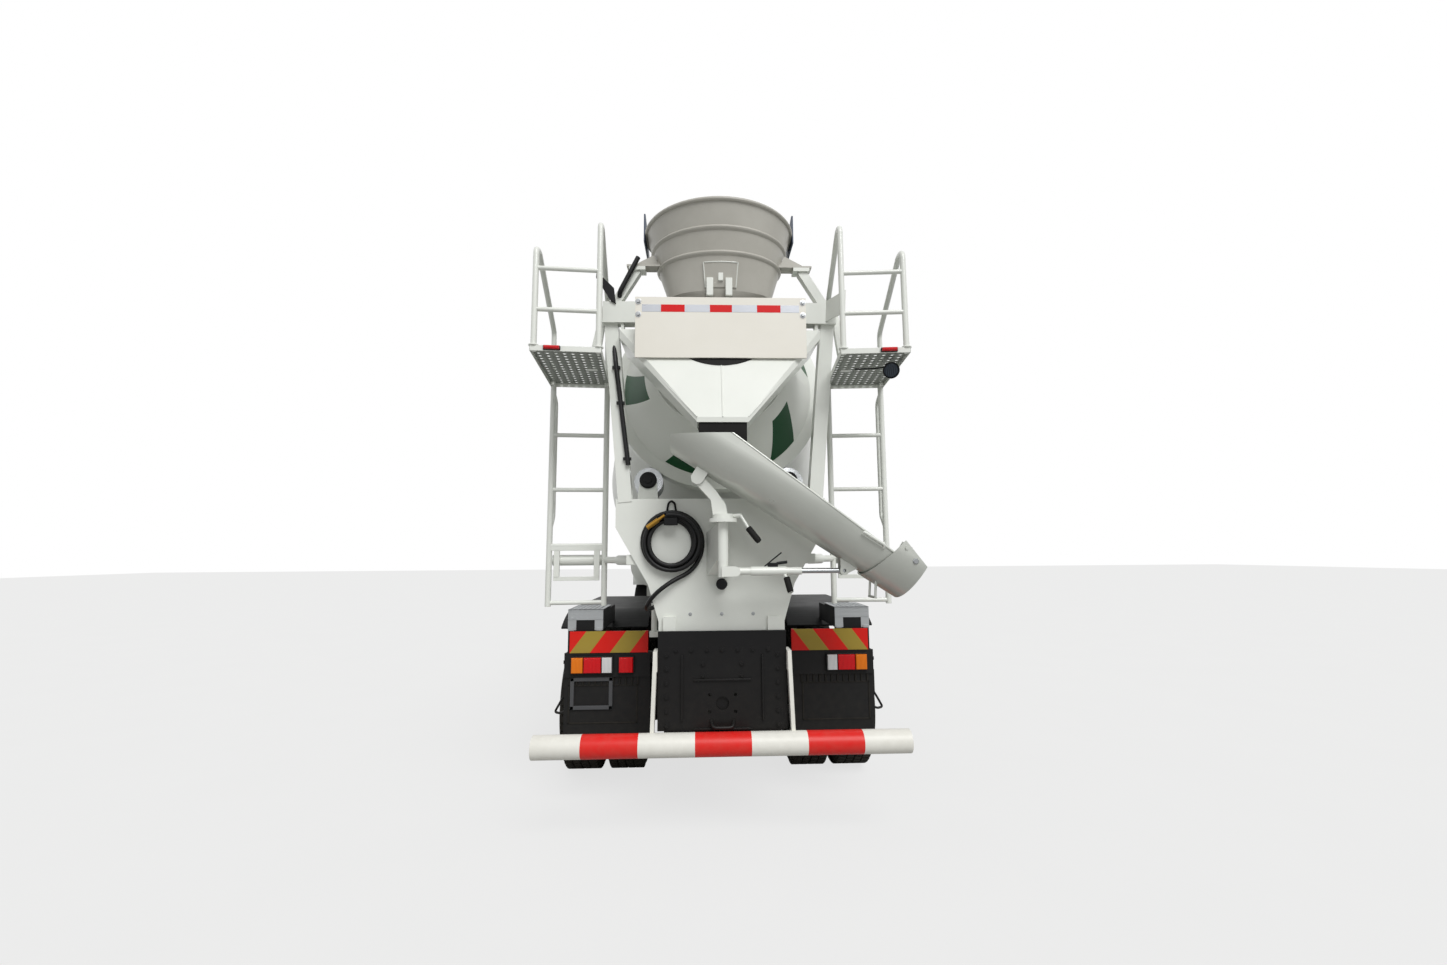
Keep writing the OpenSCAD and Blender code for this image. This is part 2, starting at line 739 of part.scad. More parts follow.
module rear_stand() color(white_paint) from_bar() {
    rear_profile(stand_y, stand_y + stand_plate_t) polygon(stand_outline());
    // deck of the rollers and its legs
    span([-stand_half_w, stand_y + 1, stand_top - 60], [stand_half_w, roller_y0 + 160, stand_top]);
    both_sides() {
        span([frame_w / 2 - flange_w, stand_y + 1, deck_z], [frame_w / 2, stand_y + 260, deck_z + 30]);
        span([frame_w / 2 - flange_w + 5, stand_y + 145, deck_z + 10],
             [frame_w / 2 - 5, stand_y + 255, stand_top - 30]);
        span([frame_w / 2 - flange_w, roller_y0 - 10, deck_z], [frame_w / 2, roller_y0 + 150, deck_z + 30]);
        strut_bar([frame_w / 2 - flange_w / 2, roller_y0 + 70, deck_z + 14],
                  [stand_half_w - 150, roller_y0 + 70, stand_top - 30], 70, 110);
        // leaning post
        strut_bar([post_foot_x, post_y + 30, stand_top - 20],
                  [post_head_x, post_y + 30, beam_z], post_w, post_w);
        // feet at the plate's lower edge
        span([plate_low_half_w - 110, stand_y - 26, deck_z + 40],
             [plate_low_half_w - 30, stand_y + 1, deck_z + 160]);
    }
    both_sides() {
        span([beam_in_x, post_y - beam_depth / 2, beam_z - beam_h / 2],
             [post_head_x + 45, post_y + beam_depth / 2, beam_z + beam_h / 2]);
        // bracket of the sign board
        span([beam_in_x + 60, sign_y + board_t, beam_z - 50], [beam_in_x + 100, post_y, beam_z + 20]);
    }
    for (side = [-1, 1]) roller_carrier(side);
    swing_sleeve();
    hopper_arms();
    // bar hook for the wash hose
    for (x = [coil_x - 34, coil_x + 34])
        span([x - 5, stand_y - coil_depth - 24, hook_z - 10], [x + 5, stand_y + 1, hook_z]);
    span([coil_x - 39, stand_y - coil_depth - 32, hook_z - 10],
         [coil_x + 39, stand_y - coil_depth - 23, hook_z + 20]);
    // drain plug
    translate([0, stand_y - 28, 1524]) rotate([-90, 0, 0]) cylinder(r = 30, h = 29, $fn = 5);
    // pipe of the hose's valve
    rod([hose_exit[0], hose_exit[1] + 30, deck_z + 20],
        [hose_exit[0], hose_exit[1] + 30, hose_exit[2] + 24], 20);
    rod([hose_exit[0], hose_exit[1] + 30, hose_exit[2]], hose_exit + [0, seat_gap, 0], 17);
    span([hose_exit[0] - 30, hose_exit[1], deck_z], [-frame_w / 2 + flange_w, hose_exit[1] + 60, deck_z + 36]);
}

module drum_roller(side) color(black_steel)
    from_bar()
        translate([side * roller_dist * sin(roller_angle), roller_y0, roller_z0])
            rotate([-(90 + drum_tilt), 0, 0])
                difference() {
                    translate([0, 0, -roller_w / 2]) cylinder(r = roller_r, h = roller_w);
                    translate([0, 0, -roller_w]) cylinder(r = roller_pin_r + run_gap, h = 2 * roller_w);
                }

// Feed hopper: a round rim over an oval throat, two beads, and a spout into the drum's mouth

throat_z = 3400;
throat_y = 100;
throat_half_w = 345;
throat_half_d = 175;
spout_r = 170;
spout_top = [0, 150, 3320];
spout_end = [0, 640, 3060];
bead = 12;
splash_h = 155;
slice = 2;

// Cone between the rim and the throat, grown outwards.
module feed_cone(grow) hull() {
    translate([0, feed_y, feed_z - slice]) cylinder(r = feed_r + grow, h = slice);
    translate([0, throat_y, throat_z])
        scale([(throat_half_w + grow) / 100, (throat_half_d + grow) / 100, 1]) cylinder(r = 100, h = slice);
}

module feed_throat(grow) hull() {
    translate([0, throat_y, throat_z])
        scale([(throat_half_w + grow) / 100, (throat_half_d + grow) / 100, 1]) cylinder(r = 100, h = slice);
    translate(spout_top - [0, 0, 60]) cylinder(r = spout_r - 40 + grow, h = slice);
}

module feed_hopper() color(white_paint) from_bar() difference() {
    union() {
        feed_cone(0);
        feed_throat(0);
        rod(spout_top - [0, 0, 20], spout_end, spout_r);
        intersection() {
            feed_cone(bead);
            union() {
                for (z = [feed_z - 330, feed_z - 180, feed_z - 2 * bead])
                    translate([-1000, -1000, z]) cube([2000, 3000, 2 * bead]);
            }
        }
        both_sides() {
            // ears that sit on the stand's pads
            span([400, post_y - saddle_w / 2, saddle_z - 40],
                 [saddle_x + 70, post_y + saddle_w / 2, saddle_z + 20]);
            // splash plates at the rim's sides
            span([feed_r + 4, feed_y - 90, feed_z - 60], [feed_r + 14, feed_y + 260, feed_z + splash_h]);
        }
    }
    translate([0, 0, 1]) feed_cone(-hopper_wall);
    translate([0, 0, 1]) feed_throat(-hopper_wall);
    rod(spout_top - [0, 0, 20], spout_end + (spout_end - spout_top) * 0.05, spout_r - hopper_wall);
    translate([0, feed_y, feed_z]) cylinder(r = feed_r - hopper_wall, h = splash_h + 10);
}

// Discharge hopper: a funnel of flat plates, open to the drum's mouth in front

outlet_half_x = 150;
outlet_half_y = 118;
hopper_rear_y = 40;
hopper_front_y = 430;
hopper_rim_h = 60;
drum_clear = 30;
notch_r = 190;
notch_z = 3080;

module funnel(inset, extend) {
    hull() {
        span([-hopper_half_w + inset, hopper_rear_y + inset, hopper_top - hopper_rim_h],
             [hopper_half_w - inset, hopper_front_y - inset, hopper_top + extend]);
        span([-outlet_half_x + inset, swing_y - outlet_half_y + inset, outlet_z - extend],
             [outlet_half_x - inset, swing_y + outlet_half_y - inset, outlet_z + 30]);
    }
}

// Room for the turning drum, with a clearance round it.
module drum_room() drum_frame()
    rotate_extrude()
        polygon([
            [0, -mouth_len - drum_clear], [mouth_r + lip_r + drum_clear, -mouth_len - drum_clear],
            [shell_at_ring + drum_clear, -60], [shell_at_ring + drum_clear, 200], [0, 200]
        ]);

module discharge_hopper() color(white_paint) difference() {
    from_bar() {
        difference() {
            funnel(0, 0);
            funnel(hopper_wall, 1);
            translate([0, hopper_rear_y - 20, notch_z])
                rotate([-90, 0, 0]) cylinder(r = notch_r, h = 80);
            // open side towards the drum
            span([-hopper_half_w + 60, hopper_front_y - 40, outlet_z + 200],
                 [hopper_half_w - 60, hopper_front_y + 10, hopper_top + 1]);
        }
        // lugs under the top beam
        both_sides()
            span([hopper_half_w - 20, post_y - 30, hopper_top - 50],
                 [hopper_half_w, post_y + 30, beam_z - beam_h / 2]);
    }
    drum_room();
}

// Rubber apron that hangs from the outlet into the chute
apron_drop = 110;
apron_t = 8;
module apron() color(rubber) from_bar()
    difference() {
        span([-outlet_half_x + hopper_wall + seat_gap, swing_y - outlet_half_y + hopper_wall + seat_gap,
              outlet_z - apron_drop],
             [outlet_half_x - hopper_wall - seat_gap, swing_y + outlet_half_y - hopper_wall - seat_gap,
              outlet_z + 25]);
        span([-outlet_half_x + hopper_wall + apron_t, swing_y - outlet_half_y + hopper_wall + apron_t,
              outlet_z - apron_drop - 1],
             [outlet_half_x - hopper_wall - apron_t, swing_y + outlet_half_y - hopper_wall - apron_t,
              outlet_z + 26]);
    }

// Chute

pivot_x = -150;
pivot_z = 2160;
lug_t = 14;
lug_gap = 92;
eye_gap = 46;
eye_r = 22;
strut_z = 1612;
strut_x = 30;
chute_cut_z = 2400;
chute_drop = 46;

// Local +X runs down the chute from the tilt pin.
module chute_frame()
    from_bar() translate([pivot_x, swing_y, pivot_z]) rotate([0, chute_slope, 0]) children();

// U section of the trough, its bottom at local z 0.
module u_section(r, wall, side_h) {
    difference() {
        union() {
            translate([0, r]) circle(r = r);
            translate([-r, r]) square([2 * r, side_h]);
        }
        translate([0, r]) circle(r = r - wall);
        translate([-r + wall, r]) square([2 * (r - wall), r + side_h]);
        translate([-r - 1, r + side_h]) square([2 * r + 2, r]);
    }
}

chute_side_h = 95;
chute_start = -420;
chute_head_x = -308;
chute_depth = 266;
rim_fall = 4.6;
eye_x = (strut_x + strut_len - pivot_x) * cos(chute_slope) + (pivot_z - strut_z) * sin(chute_slope);
eye_z = (strut_x + strut_len - pivot_x) * sin(chute_slope) - (pivot_z - strut_z) * cos(chute_slope);

module trough(r, wall, side_h, length) {
    rotate([90, 0, 90]) linear_extrude(height = length) u_section(r, wall, side_h);
}

// The falling line of the rims, with local +X along it.
module on_rim() translate([0, 0, chute_drop + chute_depth]) rotate([0, rim_fall, 0]) children();

module chute() color(white_paint) {
    difference() {
        chute_frame() {
            difference() {
                translate([chute_start, 0, chute_drop])
                    trough(chute_r, chute_wall, chute_side_h, chute_len - chute_start);
                on_rim() span([-900, -400, 0], [1600, 400, 400]);
            }
            // rolled rims
            for (end = [-1, 1])
                on_rim() translate([chute_start, end * (chute_r - chute_wall / 2), 0])
                    rotate([0, 90, 0]) cylinder(r = 7, h = flap_pin_x - chute_start - 20);
        }
        from_bar() {
            span([-900, swing_y - 400, chute_cut_z], [60, swing_y + 400, chute_cut_z + 900]);
            span([-900, swing_y - 400, 2000], [chute_head_x, swing_y + 400, 2900]);
        }
    }
    // closed upright upper end
    intersection() {
        chute_frame() translate([chute_start, 0, chute_drop])
            rotate([90, 0, 90]) linear_extrude(height = 600) {
                translate([0, chute_r]) circle(r = chute_r);
                translate([-chute_r, chute_r]) square([2 * chute_r, chute_side_h]);
            }
        from_bar()
            span([chute_head_x, swing_y - 400, 2200],
                 [chute_head_x + chute_wall, swing_y + 400, chute_cut_z]);
    }
    chute_frame() {
        // lugs of the tilt pin
        for (end = [-1, 1])
            translate([0, end * (lug_gap / 2 + lug_t / 2) - lug_t / 2, 0]) {
                rotate([-90, 0, 0]) cylinder(r = 38, h = lug_t);
                translate([-38, 0, 0]) cube([76, lug_t, chute_drop + 10]);
            }
        rotate([-90, 0, 0])
            translate([0, 0, -lug_gap / 2 - lug_t]) cylinder(r = tilt_pin_r, h = lug_gap + 2 * lug_t);
        // ears and pins of the end flap
        for (end = [-1, 1]) {
            span([flap_pin_x - 32, end * (chute_r - chute_wall) - 4, chute_drop + 156],
                 [chute_len, end * (chute_r - chute_wall) + 3, flap_pin_z + 22]);
            translate([flap_pin_x, end * (chute_r - chute_wall), flap_pin_z])
                rotate([end * -90, 0, 0])
                    cylinder(r = flap_pin_r, h = chute_wall - 2 + flap_gap + flap_wall + flap_pin_out);
        }
        // lugs of the strut's eye
        for (end = [-1, 1])
            difference() {
                rear_profile(end * (eye_gap / 2 + lug_t / 2) - lug_t / 2,
                             end * (eye_gap / 2 + lug_t / 2) + lug_t / 2)
                    polygon(concat(
                        arc(eye_x, eye_z, eye_r + 4, 180, 360, 12),
                        [[eye_x + 60, chute_drop + 6], [eye_x - 60, chute_drop + 6]]));
                translate([eye_x, -200, eye_z]) rotate([-90, 0, 0]) cylinder(r = 11, h = 400);
            }
    }
}

// End flap

flap_pin_r = 10;
flap_back = 98;
flap_pin_x = chute_len - 34;
flap_pin_z = chute_drop + chute_r + 18;
flap_low_z = chute_drop - flap_gap - flap_wall;
flap_side_h = 60;
flap_lean = 15;
flap_fall = 20;

module chute_flap() color(white_paint) chute_frame() {
    difference() {
        translate([flap_pin_x - flap_back, 0, flap_low_z]) trough(flap_r, flap_wall, flap_side_h, flap_len);
        for (end = [-1, 1])
            translate([flap_pin_x, 0, flap_pin_z])
                rotate([end * -90, 0, 0]) cylinder(r = flap_pin_r + run_gap, h = flap_r + 20);
        // slanting inner edge and falling rims
        translate([flap_pin_x - flap_back, 0, flap_low_z])
            rotate([0, flap_lean, 0]) span([-300, -400, -60], [0, 400, 500]);
        translate([flap_pin_x - 20, 0, flap_pin_z + 33])
            rotate([0, flap_fall, 0]) span([-300, -400, 0], [500, 400, 300]);
    }
    // lifting handle under the flap
    for (end = [-1, 1])
        rod([flap_pin_x - 10, end * 60, flap_low_z + 12], [flap_pin_x + 34, end * 60, flap_low_z - 70], 7);
    rod([flap_pin_x + 34, -66, flap_low_z - 70], [flap_pin_x + 34, 66, flap_low_z - 70], 7.5);
}

// Swing shaft with the chute's arm and the strut's foot

arm_t = 80;
foot_t = 2 * (strut_r + 10);
module chute_swing() color(white_paint) from_bar() {
    translate([0, swing_y, strut_z - 30])
        cylinder(r = swing_shaft_r, h = index_z + index_t + 30 - strut_z + 30);
    translate([0, swing_y, index_z + index_t + seat_gap]) cylinder(r = 64, h = 26);
    difference() {
        rear_profile(swing_y - arm_t / 2, swing_y + arm_t / 2)
            polygon(concat(
                [[28, index_z + index_t + 20], [14, 2008], [-45, 2090]],
                arc(pivot_x, pivot_z, 32, 20, 200, 12),
                [[-72, 2031], [-60, index_z + index_t + 20]]));
        translate([pivot_x, swing_y - 200, pivot_z])
            rotate([-90, 0, 0]) cylinder(r = tilt_pin_r + run_gap, h = 400);
    }
    // foot block below the sleeve, with the two ears of the strut
    translate([0, swing_y, strut_z - 34]) cylinder(r = 30, h = sleeve_low - seat_gap - strut_z + 34);
    for (end = [-1, 1])
        rear_profile(swing_y + end * (foot_t / 2 + lug_t / 2) - lug_t / 2,
                     swing_y + end * (foot_t / 2 + lug_t / 2) + lug_t / 2)
            polygon(concat([[-10, strut_z - 30]], arc(strut_x + 42, strut_z, 28, -90, 90, 12),
                           [[-10, strut_z + 30]]));
    rod([strut_x + 42, swing_y - foot_t / 2 - lug_t, strut_z],
        [strut_x + 42, swing_y + foot_t / 2 + lug_t, strut_z], foot_pin_r);
    // lock lever with its grip
    rod([40, swing_y, index_z + index_t + 14], [106, swing_y - 36, index_z + index_t + 16], 12);
    rod([104, swing_y - 36, index_z + index_t + 16], [150, swing_y - 56, 1858], 9);
    rod([146, swing_y - 54, 1864], [206, swing_y - 80, 1784], 16);
}

// Strut: a barrel on the foot's pin and a rod that slides in it

foot_pin_r = 12;
foot_x = strut_x + 42;
barrel_start = 40;
strut_barrel_len = 350;
module strut_barrel() color(white_paint) from_bar() difference() {
    union() {
        rod([foot_x, swing_y - foot_t / 2 + 4, strut_z], [foot_x, swing_y + foot_t / 2 - 4, strut_z], 24);
        rod([foot_x + barrel_start - 20, swing_y, strut_z],
            [foot_x + barrel_start + strut_barrel_len, swing_y, strut_z], strut_r);
        rod([foot_x + 90, swing_y, strut_z], [foot_x + 300, swing_y, strut_z], strut_r + 5);
        // ratchet handle with its grip
        rod([foot_x + 286, swing_y, strut_z - 16], [foot_x + 297, swing_y - 36, strut_z - 40], 9);
        rod([foot_x + 296, swing_y - 34, strut_z - 36], [foot_x + 316, swing_y - 60, strut_z - 123], 15);
    }
    rod([foot_x, swing_y - foot_t, strut_z], [foot_x, swing_y + foot_t, strut_z], foot_pin_r + run_gap);
    rod([foot_x + barrel_start + 100, swing_y, strut_z],
        [foot_x + barrel_start + strut_barrel_len + 1, swing_y, strut_z], strut_rod_r + run_gap);
}

rod_start = barrel_start + 185;
module strut_rod() color("silver") from_bar() {
    rod([foot_x + rod_start, swing_y, strut_z], [strut_x + strut_len - 10, swing_y, strut_z], strut_rod_r);
    rod([strut_x + strut_len, swing_y - eye_gap / 2 + 7, strut_z],
        [strut_x + strut_len, swing_y + eye_gap / 2 - 7, strut_z], eye_r);
}

// Ladders with their platforms and handrails

rungs = 4;
rail_x = ladder_w / 2 - tube_r;
rung_x = rail_x - tube_r - seat_gap;
inner_rail_top = 800;
outer_rail_top = 620;
rail_elbow = 260;
brace_z = 1680;
platform_t = 34;
hand_rail_y = 130;

// The ladder's own frame, turned in by the toe angle.
module ladder_frame() translate([ladder_x, ladder_y, 0]) rotate([0, 0, -ladder_toe]) children();

// One handrail loop over the platform, on the side x.
module platform_rail(x, height) {
    near = -platform_len + tube_r;
    bent_tube([
        [x, near, platform_z - platform_t + 2], [x, near, platform_z + height],
        [x, near + 90, platform_z + height + 10], [x, -40, platform_z + height - rail_elbow],
        [x, -40, platform_z - platform_t + 2]
    ], tube_r - 2);
}

module ladder(side) color(white_paint) from_bar() on_side(side) {
    ladder_frame() {
        for (x = [-rail_x, rail_x])
            rod([x, 0, ladder_foot - 25], [x, 0, platform_z - platform_t - seat_gap], tube_r);
        for (i = [0 : rungs - 1])
            rod([-rung_x, 0, ladder_foot + i * rung_pitch], [rung_x, 0, ladder_foot + i * rung_pitch],
                tube_r - 5);
        span([-ladder_w / 2, -platform_len, platform_z - platform_t], [ladder_w / 2, 0, platform_z]);
        platform_rail(-rail_x, inner_rail_top);
        platform_rail(rail_x, outer_rail_top);
        for (z = [230, 490])
            rod([-rail_x, -platform_len + tube_r, platform_z + z],
                [rail_x, -platform_len + tube_r, platform_z + z], tube_r - 5);
        // grab rail on the climbing side
        bent_tube([
            [rail_x, 0, ladder_foot + 500], [rail_x, hand_rail_y, ladder_foot + 600],
            [rail_x, hand_rail_y, platform_z - 120], [rail_x, 0, platform_z - 70]
        ], tube_r - 5);
        // fold-up step frame under the second rung
        span([-rung_x, -14, ladder_foot + rung_pitch - 48],
             [rung_x, 14, ladder_foot + rung_pitch - tube_r + 5 - seat_gap]);
        for (x = [-90, 90])
            span([x - 14, -14, ladder_foot + 170], [x + 14, 14, ladder_foot + rung_pitch - 40]);
        span([-104, -14, ladder_foot + 150], [104, 14, ladder_foot + 178]);
    }
    // brace to the rear stand's plate
    rod([ladder_x - rail_x * cos(ladder_toe), ladder_y + rail_x * sin(ladder_toe) - 4, brace_z],
        [brace_end_x + 40, brace_y, brace_z], tube_r - 4);
    span([brace_end_x - 20, stand_y + stand_plate_t, brace_z - 32],
         [brace_end_x + 70, brace_y + 30, brace_z + 32]);
    // gusset from the top beam's end down to the platform
    rear_profile(post_y - 20, post_y + 20)
        polygon([
            [post_head_x + 45, beam_z + 60], [post_head_x + 65, beam_z + 60], [ladder_x - 110, platform_z - 10],
            [ladder_x - 180, platform_z - 10], [post_head_x + 45, beam_z - 100]
        ]);
}

brace_y = stand_y + 120;
brace_end_x = 540;

// Mudguards: a front arch with its step box, a rear shield over both axles with its flap

arch_r = 690;
arch_t = 14;
arch_w = 400;
shield_gap = 190;
shield_r = tyre_r + shield_gap;
shield_in_x = rear_track / 2 - twin_pitch / 2 - tyre_w / 2 - 20;
shield_out_x = rear_track / 2 + twin_pitch / 2 + tyre_w / 2 + 20;
flap_x0 = 486;
flap_x1 = 1075;
flap_y = 610;
panel_y = 520;
panel_z = 1036;
shield_end = 122;
step_z = 1330;
step_x = [820, 1060];
plate_t = 14;

function shield_path(r) = concat(
    arc(mid_axle_y, axle_z, r, 20, 90, 14),
    arc(last_axle_y, axle_z, r, 90, shield_end, 10)
);

module rear_shield() {
    side_profile(shield_in_x, shield_out_x)
        polygon(concat(shield_path(shield_r + arch_t), reversed(shield_path(shield_r))));
    // brackets on the frame
    span([frame_w / 2, trunnion_y + 190, axle_z + shield_r - 40],
         [shield_in_x + 200, trunnion_y + 250, axle_z + shield_r + 2]);
    // lamp carrier, flap and the bracket behind them
    span([frame_w / 2, panel_y + 14, panel_z - 70], [flap_x1, panel_y + 100, panel_z]);
    span([flap_x0, panel_y, panel_z - 160], [flap_x1, panel_y + 15, panel_z + 4]);
    span([flap_x0, panel_y + 14, 460], [flap_x1, panel_y + 26, panel_z - 60]);
    // chequered step box between the carrier and the shield
    span([step_x[0], panel_y + 30, panel_z - 1], [step_x[1], panel_y + 60, step_z]);
    span([step_x[0], panel_y + 30, step_z - plate_t], [step_x[1], panel_y + 380, step_z]);
    for (x = [step_x[0], step_x[1] - plate_t])
        span([x, panel_y + 40, step_z - 140], [x + plate_t, shield_step_y, step_z - plate_t + 1]);
}
shield_step_y = last_axle_y - sqrt(pow(shield_r + 4, 2) - pow(step_z - 140 - axle_z, 2));

step_x0 = 960;
module front_arch() {
    inner = arch_r - arch_t;
    side_profile(cab_w / 2 - arch_w, cab_w / 2 - 10)
        polygon(concat(
            arc(front_axle_y, axle_z, arch_r, -4, 184, 28),
            reversed(arc(front_axle_y, axle_z, inner, -4, 184, 28))));
    // step box ahead of the wheel
    difference() {
        span([step_x0, front_axle_y + arch_r - 2, 440], [cab_w / 2 - 10, bumper_back_y - 6, 1190]);
        for (z = [560, 860])
            span([step_x0 + 60, front_axle_y + arch_r + 40, z], [cab_w / 2, bumper_back_y - 60, z + 220]);
    }
    // stays on the frame
    span([frame_w / 2, front_axle_y + arch_r + 40, 820], [step_x0 + 2, front_axle_y + arch_r + 110, 880]);
    rod([frame_w / 2, front_axle_y - arch_r - 60, 980],
        [cab_w / 2 - arch_w + 60, front_axle_y - arch_r - 60, 980], 20);
    span([cab_w / 2 - arch_w + 30, front_axle_y - arch_r - 80, 480],
         [cab_w / 2 - arch_w + 90, front_axle_y - arch_r + 6, 1000]);
}

module mudguards() color(dark_plastic) from_bar() both_sides() {
    rear_shield();
    front_arch();
}

// Underrun bar with its two legs

module underrun_bar() color(white_paint) from_bar() {
    rod([-bar_len / 2, 0, bar_z], [bar_len / 2, 0, bar_z], bar_r);
    both_sides()
        strut_bar([430, 40, bar_z + 20], [frame_w / 2 + 12, 40, 1120], 24, 60);
    both_sides()
        span([frame_w / 2, 20, 1000], [frame_w / 2 + 26, frame_rear_y + 90, 1120]);
}

// Lamps and boards

board_t = 6;
lamp_t = 40;
module rear_lamp_blocks() {
    // one fog lamp, on the left
    span([-700, panel_y - lamp_t, 906], [-596, panel_y, 1014]);
    both_sides() tail_lamp_blocks();
}

module tail_lamp_blocks() {
    span([738, panel_y - lamp_t, 906], [1028, panel_y, 1014]);
    ladder_frame()
        span([30, -platform_len - 34, platform_z - platform_t + 2], [130, -platform_len, platform_z - 2]);
}

module lamps() color(lamp_red) from_bar() {
    rear_lamp_blocks();
    head_lamp_blocks();
}

sign_half_w = 540;
sign_low = 2940;
sign_top = 3335;
module rear_boards() color("whitesmoke") from_bar() {
    both_sides() span([500, panel_y - board_t, panel_z + 4], [1040, panel_y + 0, panel_z + 150]);
    both_sides() span([500, panel_y, panel_z + 4], [540, panel_y + 15, panel_z + 150]);
    span([-sign_half_w, sign_y, sign_low], [sign_half_w, sign_y + board_t, sign_top]);
}

// Wash hose: the hanging coil and the stretch down to its valve

coil_x = -320;
coil_z = 1790;
hook_z = coil_z + sqrt(pow(coil_in_r, 2) - pow(39, 2)) - seat_gap;
coil_y = stand_y - seat_gap - coil_depth / 2;
hose_exit = [-450, 380, 1360];

module hose_coil() color(rubber) from_bar()
    translate([coil_x, coil_y, coil_z]) rotate([90, 0, 0])
        rotate_extrude()
            translate([(coil_in_r + coil_out_r) / 2, 0])
                square([coil_out_r - coil_in_r, coil_depth], center = true);

// Route of the hose from its valve to the coil's lowest turn.
hose_route = [
    [-450, 380, 1360], [-450, 350, 1360], [-458, 306, 1359], [-474, 257, 1360], [-483, 200, 1368], [-475, 139, 1393],
    [-445, 89, 1436], [-398, 65, 1483], [-345, 67, 1523], [-292, 80, 1555], [-272, 84, 1566]
];

// Sweeps a round section along a list of points.
tube_sides = 10;
function unit(v) = v / norm(v);
function tangent(p, i) = unit(p[min(i + 1, len(p) - 1)] - p[max(i - 1, 0)]);
function side_of(t) = unit(cross(t, [0.17, 0.93, 0.33]));
function ring(p, i, r) = let (t = tangent(p, i), u = side_of(t), w = cross(t, u))
    [for (k = [0 : tube_sides - 1]) let (a = 360 * k / tube_sides) p[i] + r * (u * cos(a) + w * sin(a))];

module swept_tube(p, r) {
    count = len(p);
    points = [for (i = [0 : count - 1]) each ring(p, i, r)];
    walls = [for (i = [0 : count - 2], k = [0 : tube_sides - 1]) let (n = (k + 1) % tube_sides)
        [i * tube_sides + k, i * tube_sides + n, (i + 1) * tube_sides + n, (i + 1) * tube_sides + k]];
    first = [[for (k = [tube_sides - 1 : -1 : 0]) k]];
    last = [[for (k = [0 : tube_sides - 1]) (count - 1) * tube_sides + k]];
    polyhedron(points = points, faces = [for (f = concat(walls, first, last)) reversed(f)], convexity = 6);
}

module hose_tail() color(rubber) from_bar() swept_tube(hose_route, hose_d / 2);

module hose_nozzle() color(brass) from_bar() {
    y = coil_y - coil_depth / 2 - seat_gap;
    rod([coil_x - 150, y - 16, coil_z + 90], [coil_x - 80, y - 16, coil_z + 140], 16);
    rod([coil_x - 82, y - 16, coil_z + 138], [coil_x - 40, y - 16, coil_z + 168], 10);
}

// Tanks and boxes

box_y = mid_axle_y + 950;
box_in_x = frame_w / 2 + 60;

module fuel_tank() color("silver") from_bar() {
    span([box_in_x, box_y, 520], [box_in_x + 720, box_y + 1060, rail_top + 30]);
    for (y = [box_y + 180, box_y + 780])
        span([frame_w / 2, y, 640], [box_in_x + 1, y + 80, 980]);
}

module battery_box() color(dark_plastic) from_bar() {
    mirror([1, 0, 0]) {
        span([box_in_x, box_y, 560], [box_in_x + 700, box_y + 600, rail_top + 10]);
        for (y = [box_y + 80, box_y + 440])
            span([frame_w / 2, y, 640], [box_in_x + 1, y + 80, 980]);
        // air reservoirs ahead of the box
        for (z = [640, 900])
            rod([frame_w / 2 + 160, box_y + 610, z], [frame_w / 2 + 160, box_y + 1240, z], 120);
        span([frame_w / 2, box_y + 880, 600], [frame_w / 2 + 160, box_y + 940, 1000]);
    }
}

water_r = 290;
water_x = 880;
water_z = rail_top + 200 + water_r;
water_y = pedestal_y - 150;
water_len = 700;
module water_tank() color(white_paint) from_bar() {
    rod([-water_x, water_y, water_z], [-water_x, water_y + water_len, water_z], water_r);
    for (y = [water_y + 280, water_y + 560])
        span([-water_x - 80, y, rail_top + 20], [-frame_w / 2, y + 60, water_z - water_r + 60]);
}

// Cab

cab_half = cab_w / 2;
door_front_y = cab_front_y - 240;
door_back_y = door_front_y - door_len;
roof_z = cab_top_z - 100;
screen_low_z = 1980;
screen_high_z = 2740;
screen_lean = 190;

// Side outline of the cab, inset by a wall.
function cab_outline(inset) = concat(
    [[cab_back_y + inset, cab_floor_z + inset], [cab_back_y + inset, cab_top_z - 160]],
    arc(cab_back_y + 160, cab_top_z - 160, 160 - inset, 180, 90, 8),
    arc(cab_front_y - screen_lean - 200, cab_top_z - 200, 200 - inset, 90, 14, 8),
    [[cab_front_y - inset, screen_low_z - 60], [cab_front_y - inset, cab_floor_z + inset]]
);

module cab_shell() {
    difference() {
        side_profile(-cab_half, cab_half) polygon(cab_outline(0));
        side_profile(-cab_half + cab_wall, cab_half - cab_wall) polygon(cab_outline(cab_wall));
    }
}

// The cab's shell between two places along the truck and two heights.
module shell_part(y0, y1, z0, z1) intersection() {
    cab_shell();
    span([-cab_w, y0, z0], [cab_w, y1, z1]);
}

floor_top = cab_floor_z + cab_wall;
floor_half = cab_half - cab_wall - 6;

// Floor plate between the back wall and the front wall.
module cab_floor() color(white_paint) from_bar()
    span([-floor_half, cab_back_y + cab_wall, cab_floor_z], [floor_half, cab_front_y - cab_wall, floor_top]);

module cab_back() color(white_paint) from_bar() difference() {
    shell_part(cab_back_y - 1, door_back_y - door_gap, cab_floor_z - 1, roof_z);
    span([-floor_half, cab_back_y + cab_wall, cab_floor_z - 2], [floor_half, cab_front_y, floor_top + 10]);
    // rear window
    span([-600, cab_back_y - 2, 2150], [600, cab_back_y + cab_wall + 1, 2560]);
}

module cab_roof() color(white_paint) from_bar()
    shell_part(cab_back_y - 1, door_front_y + door_gap, roof_z, cab_top_z + 1);

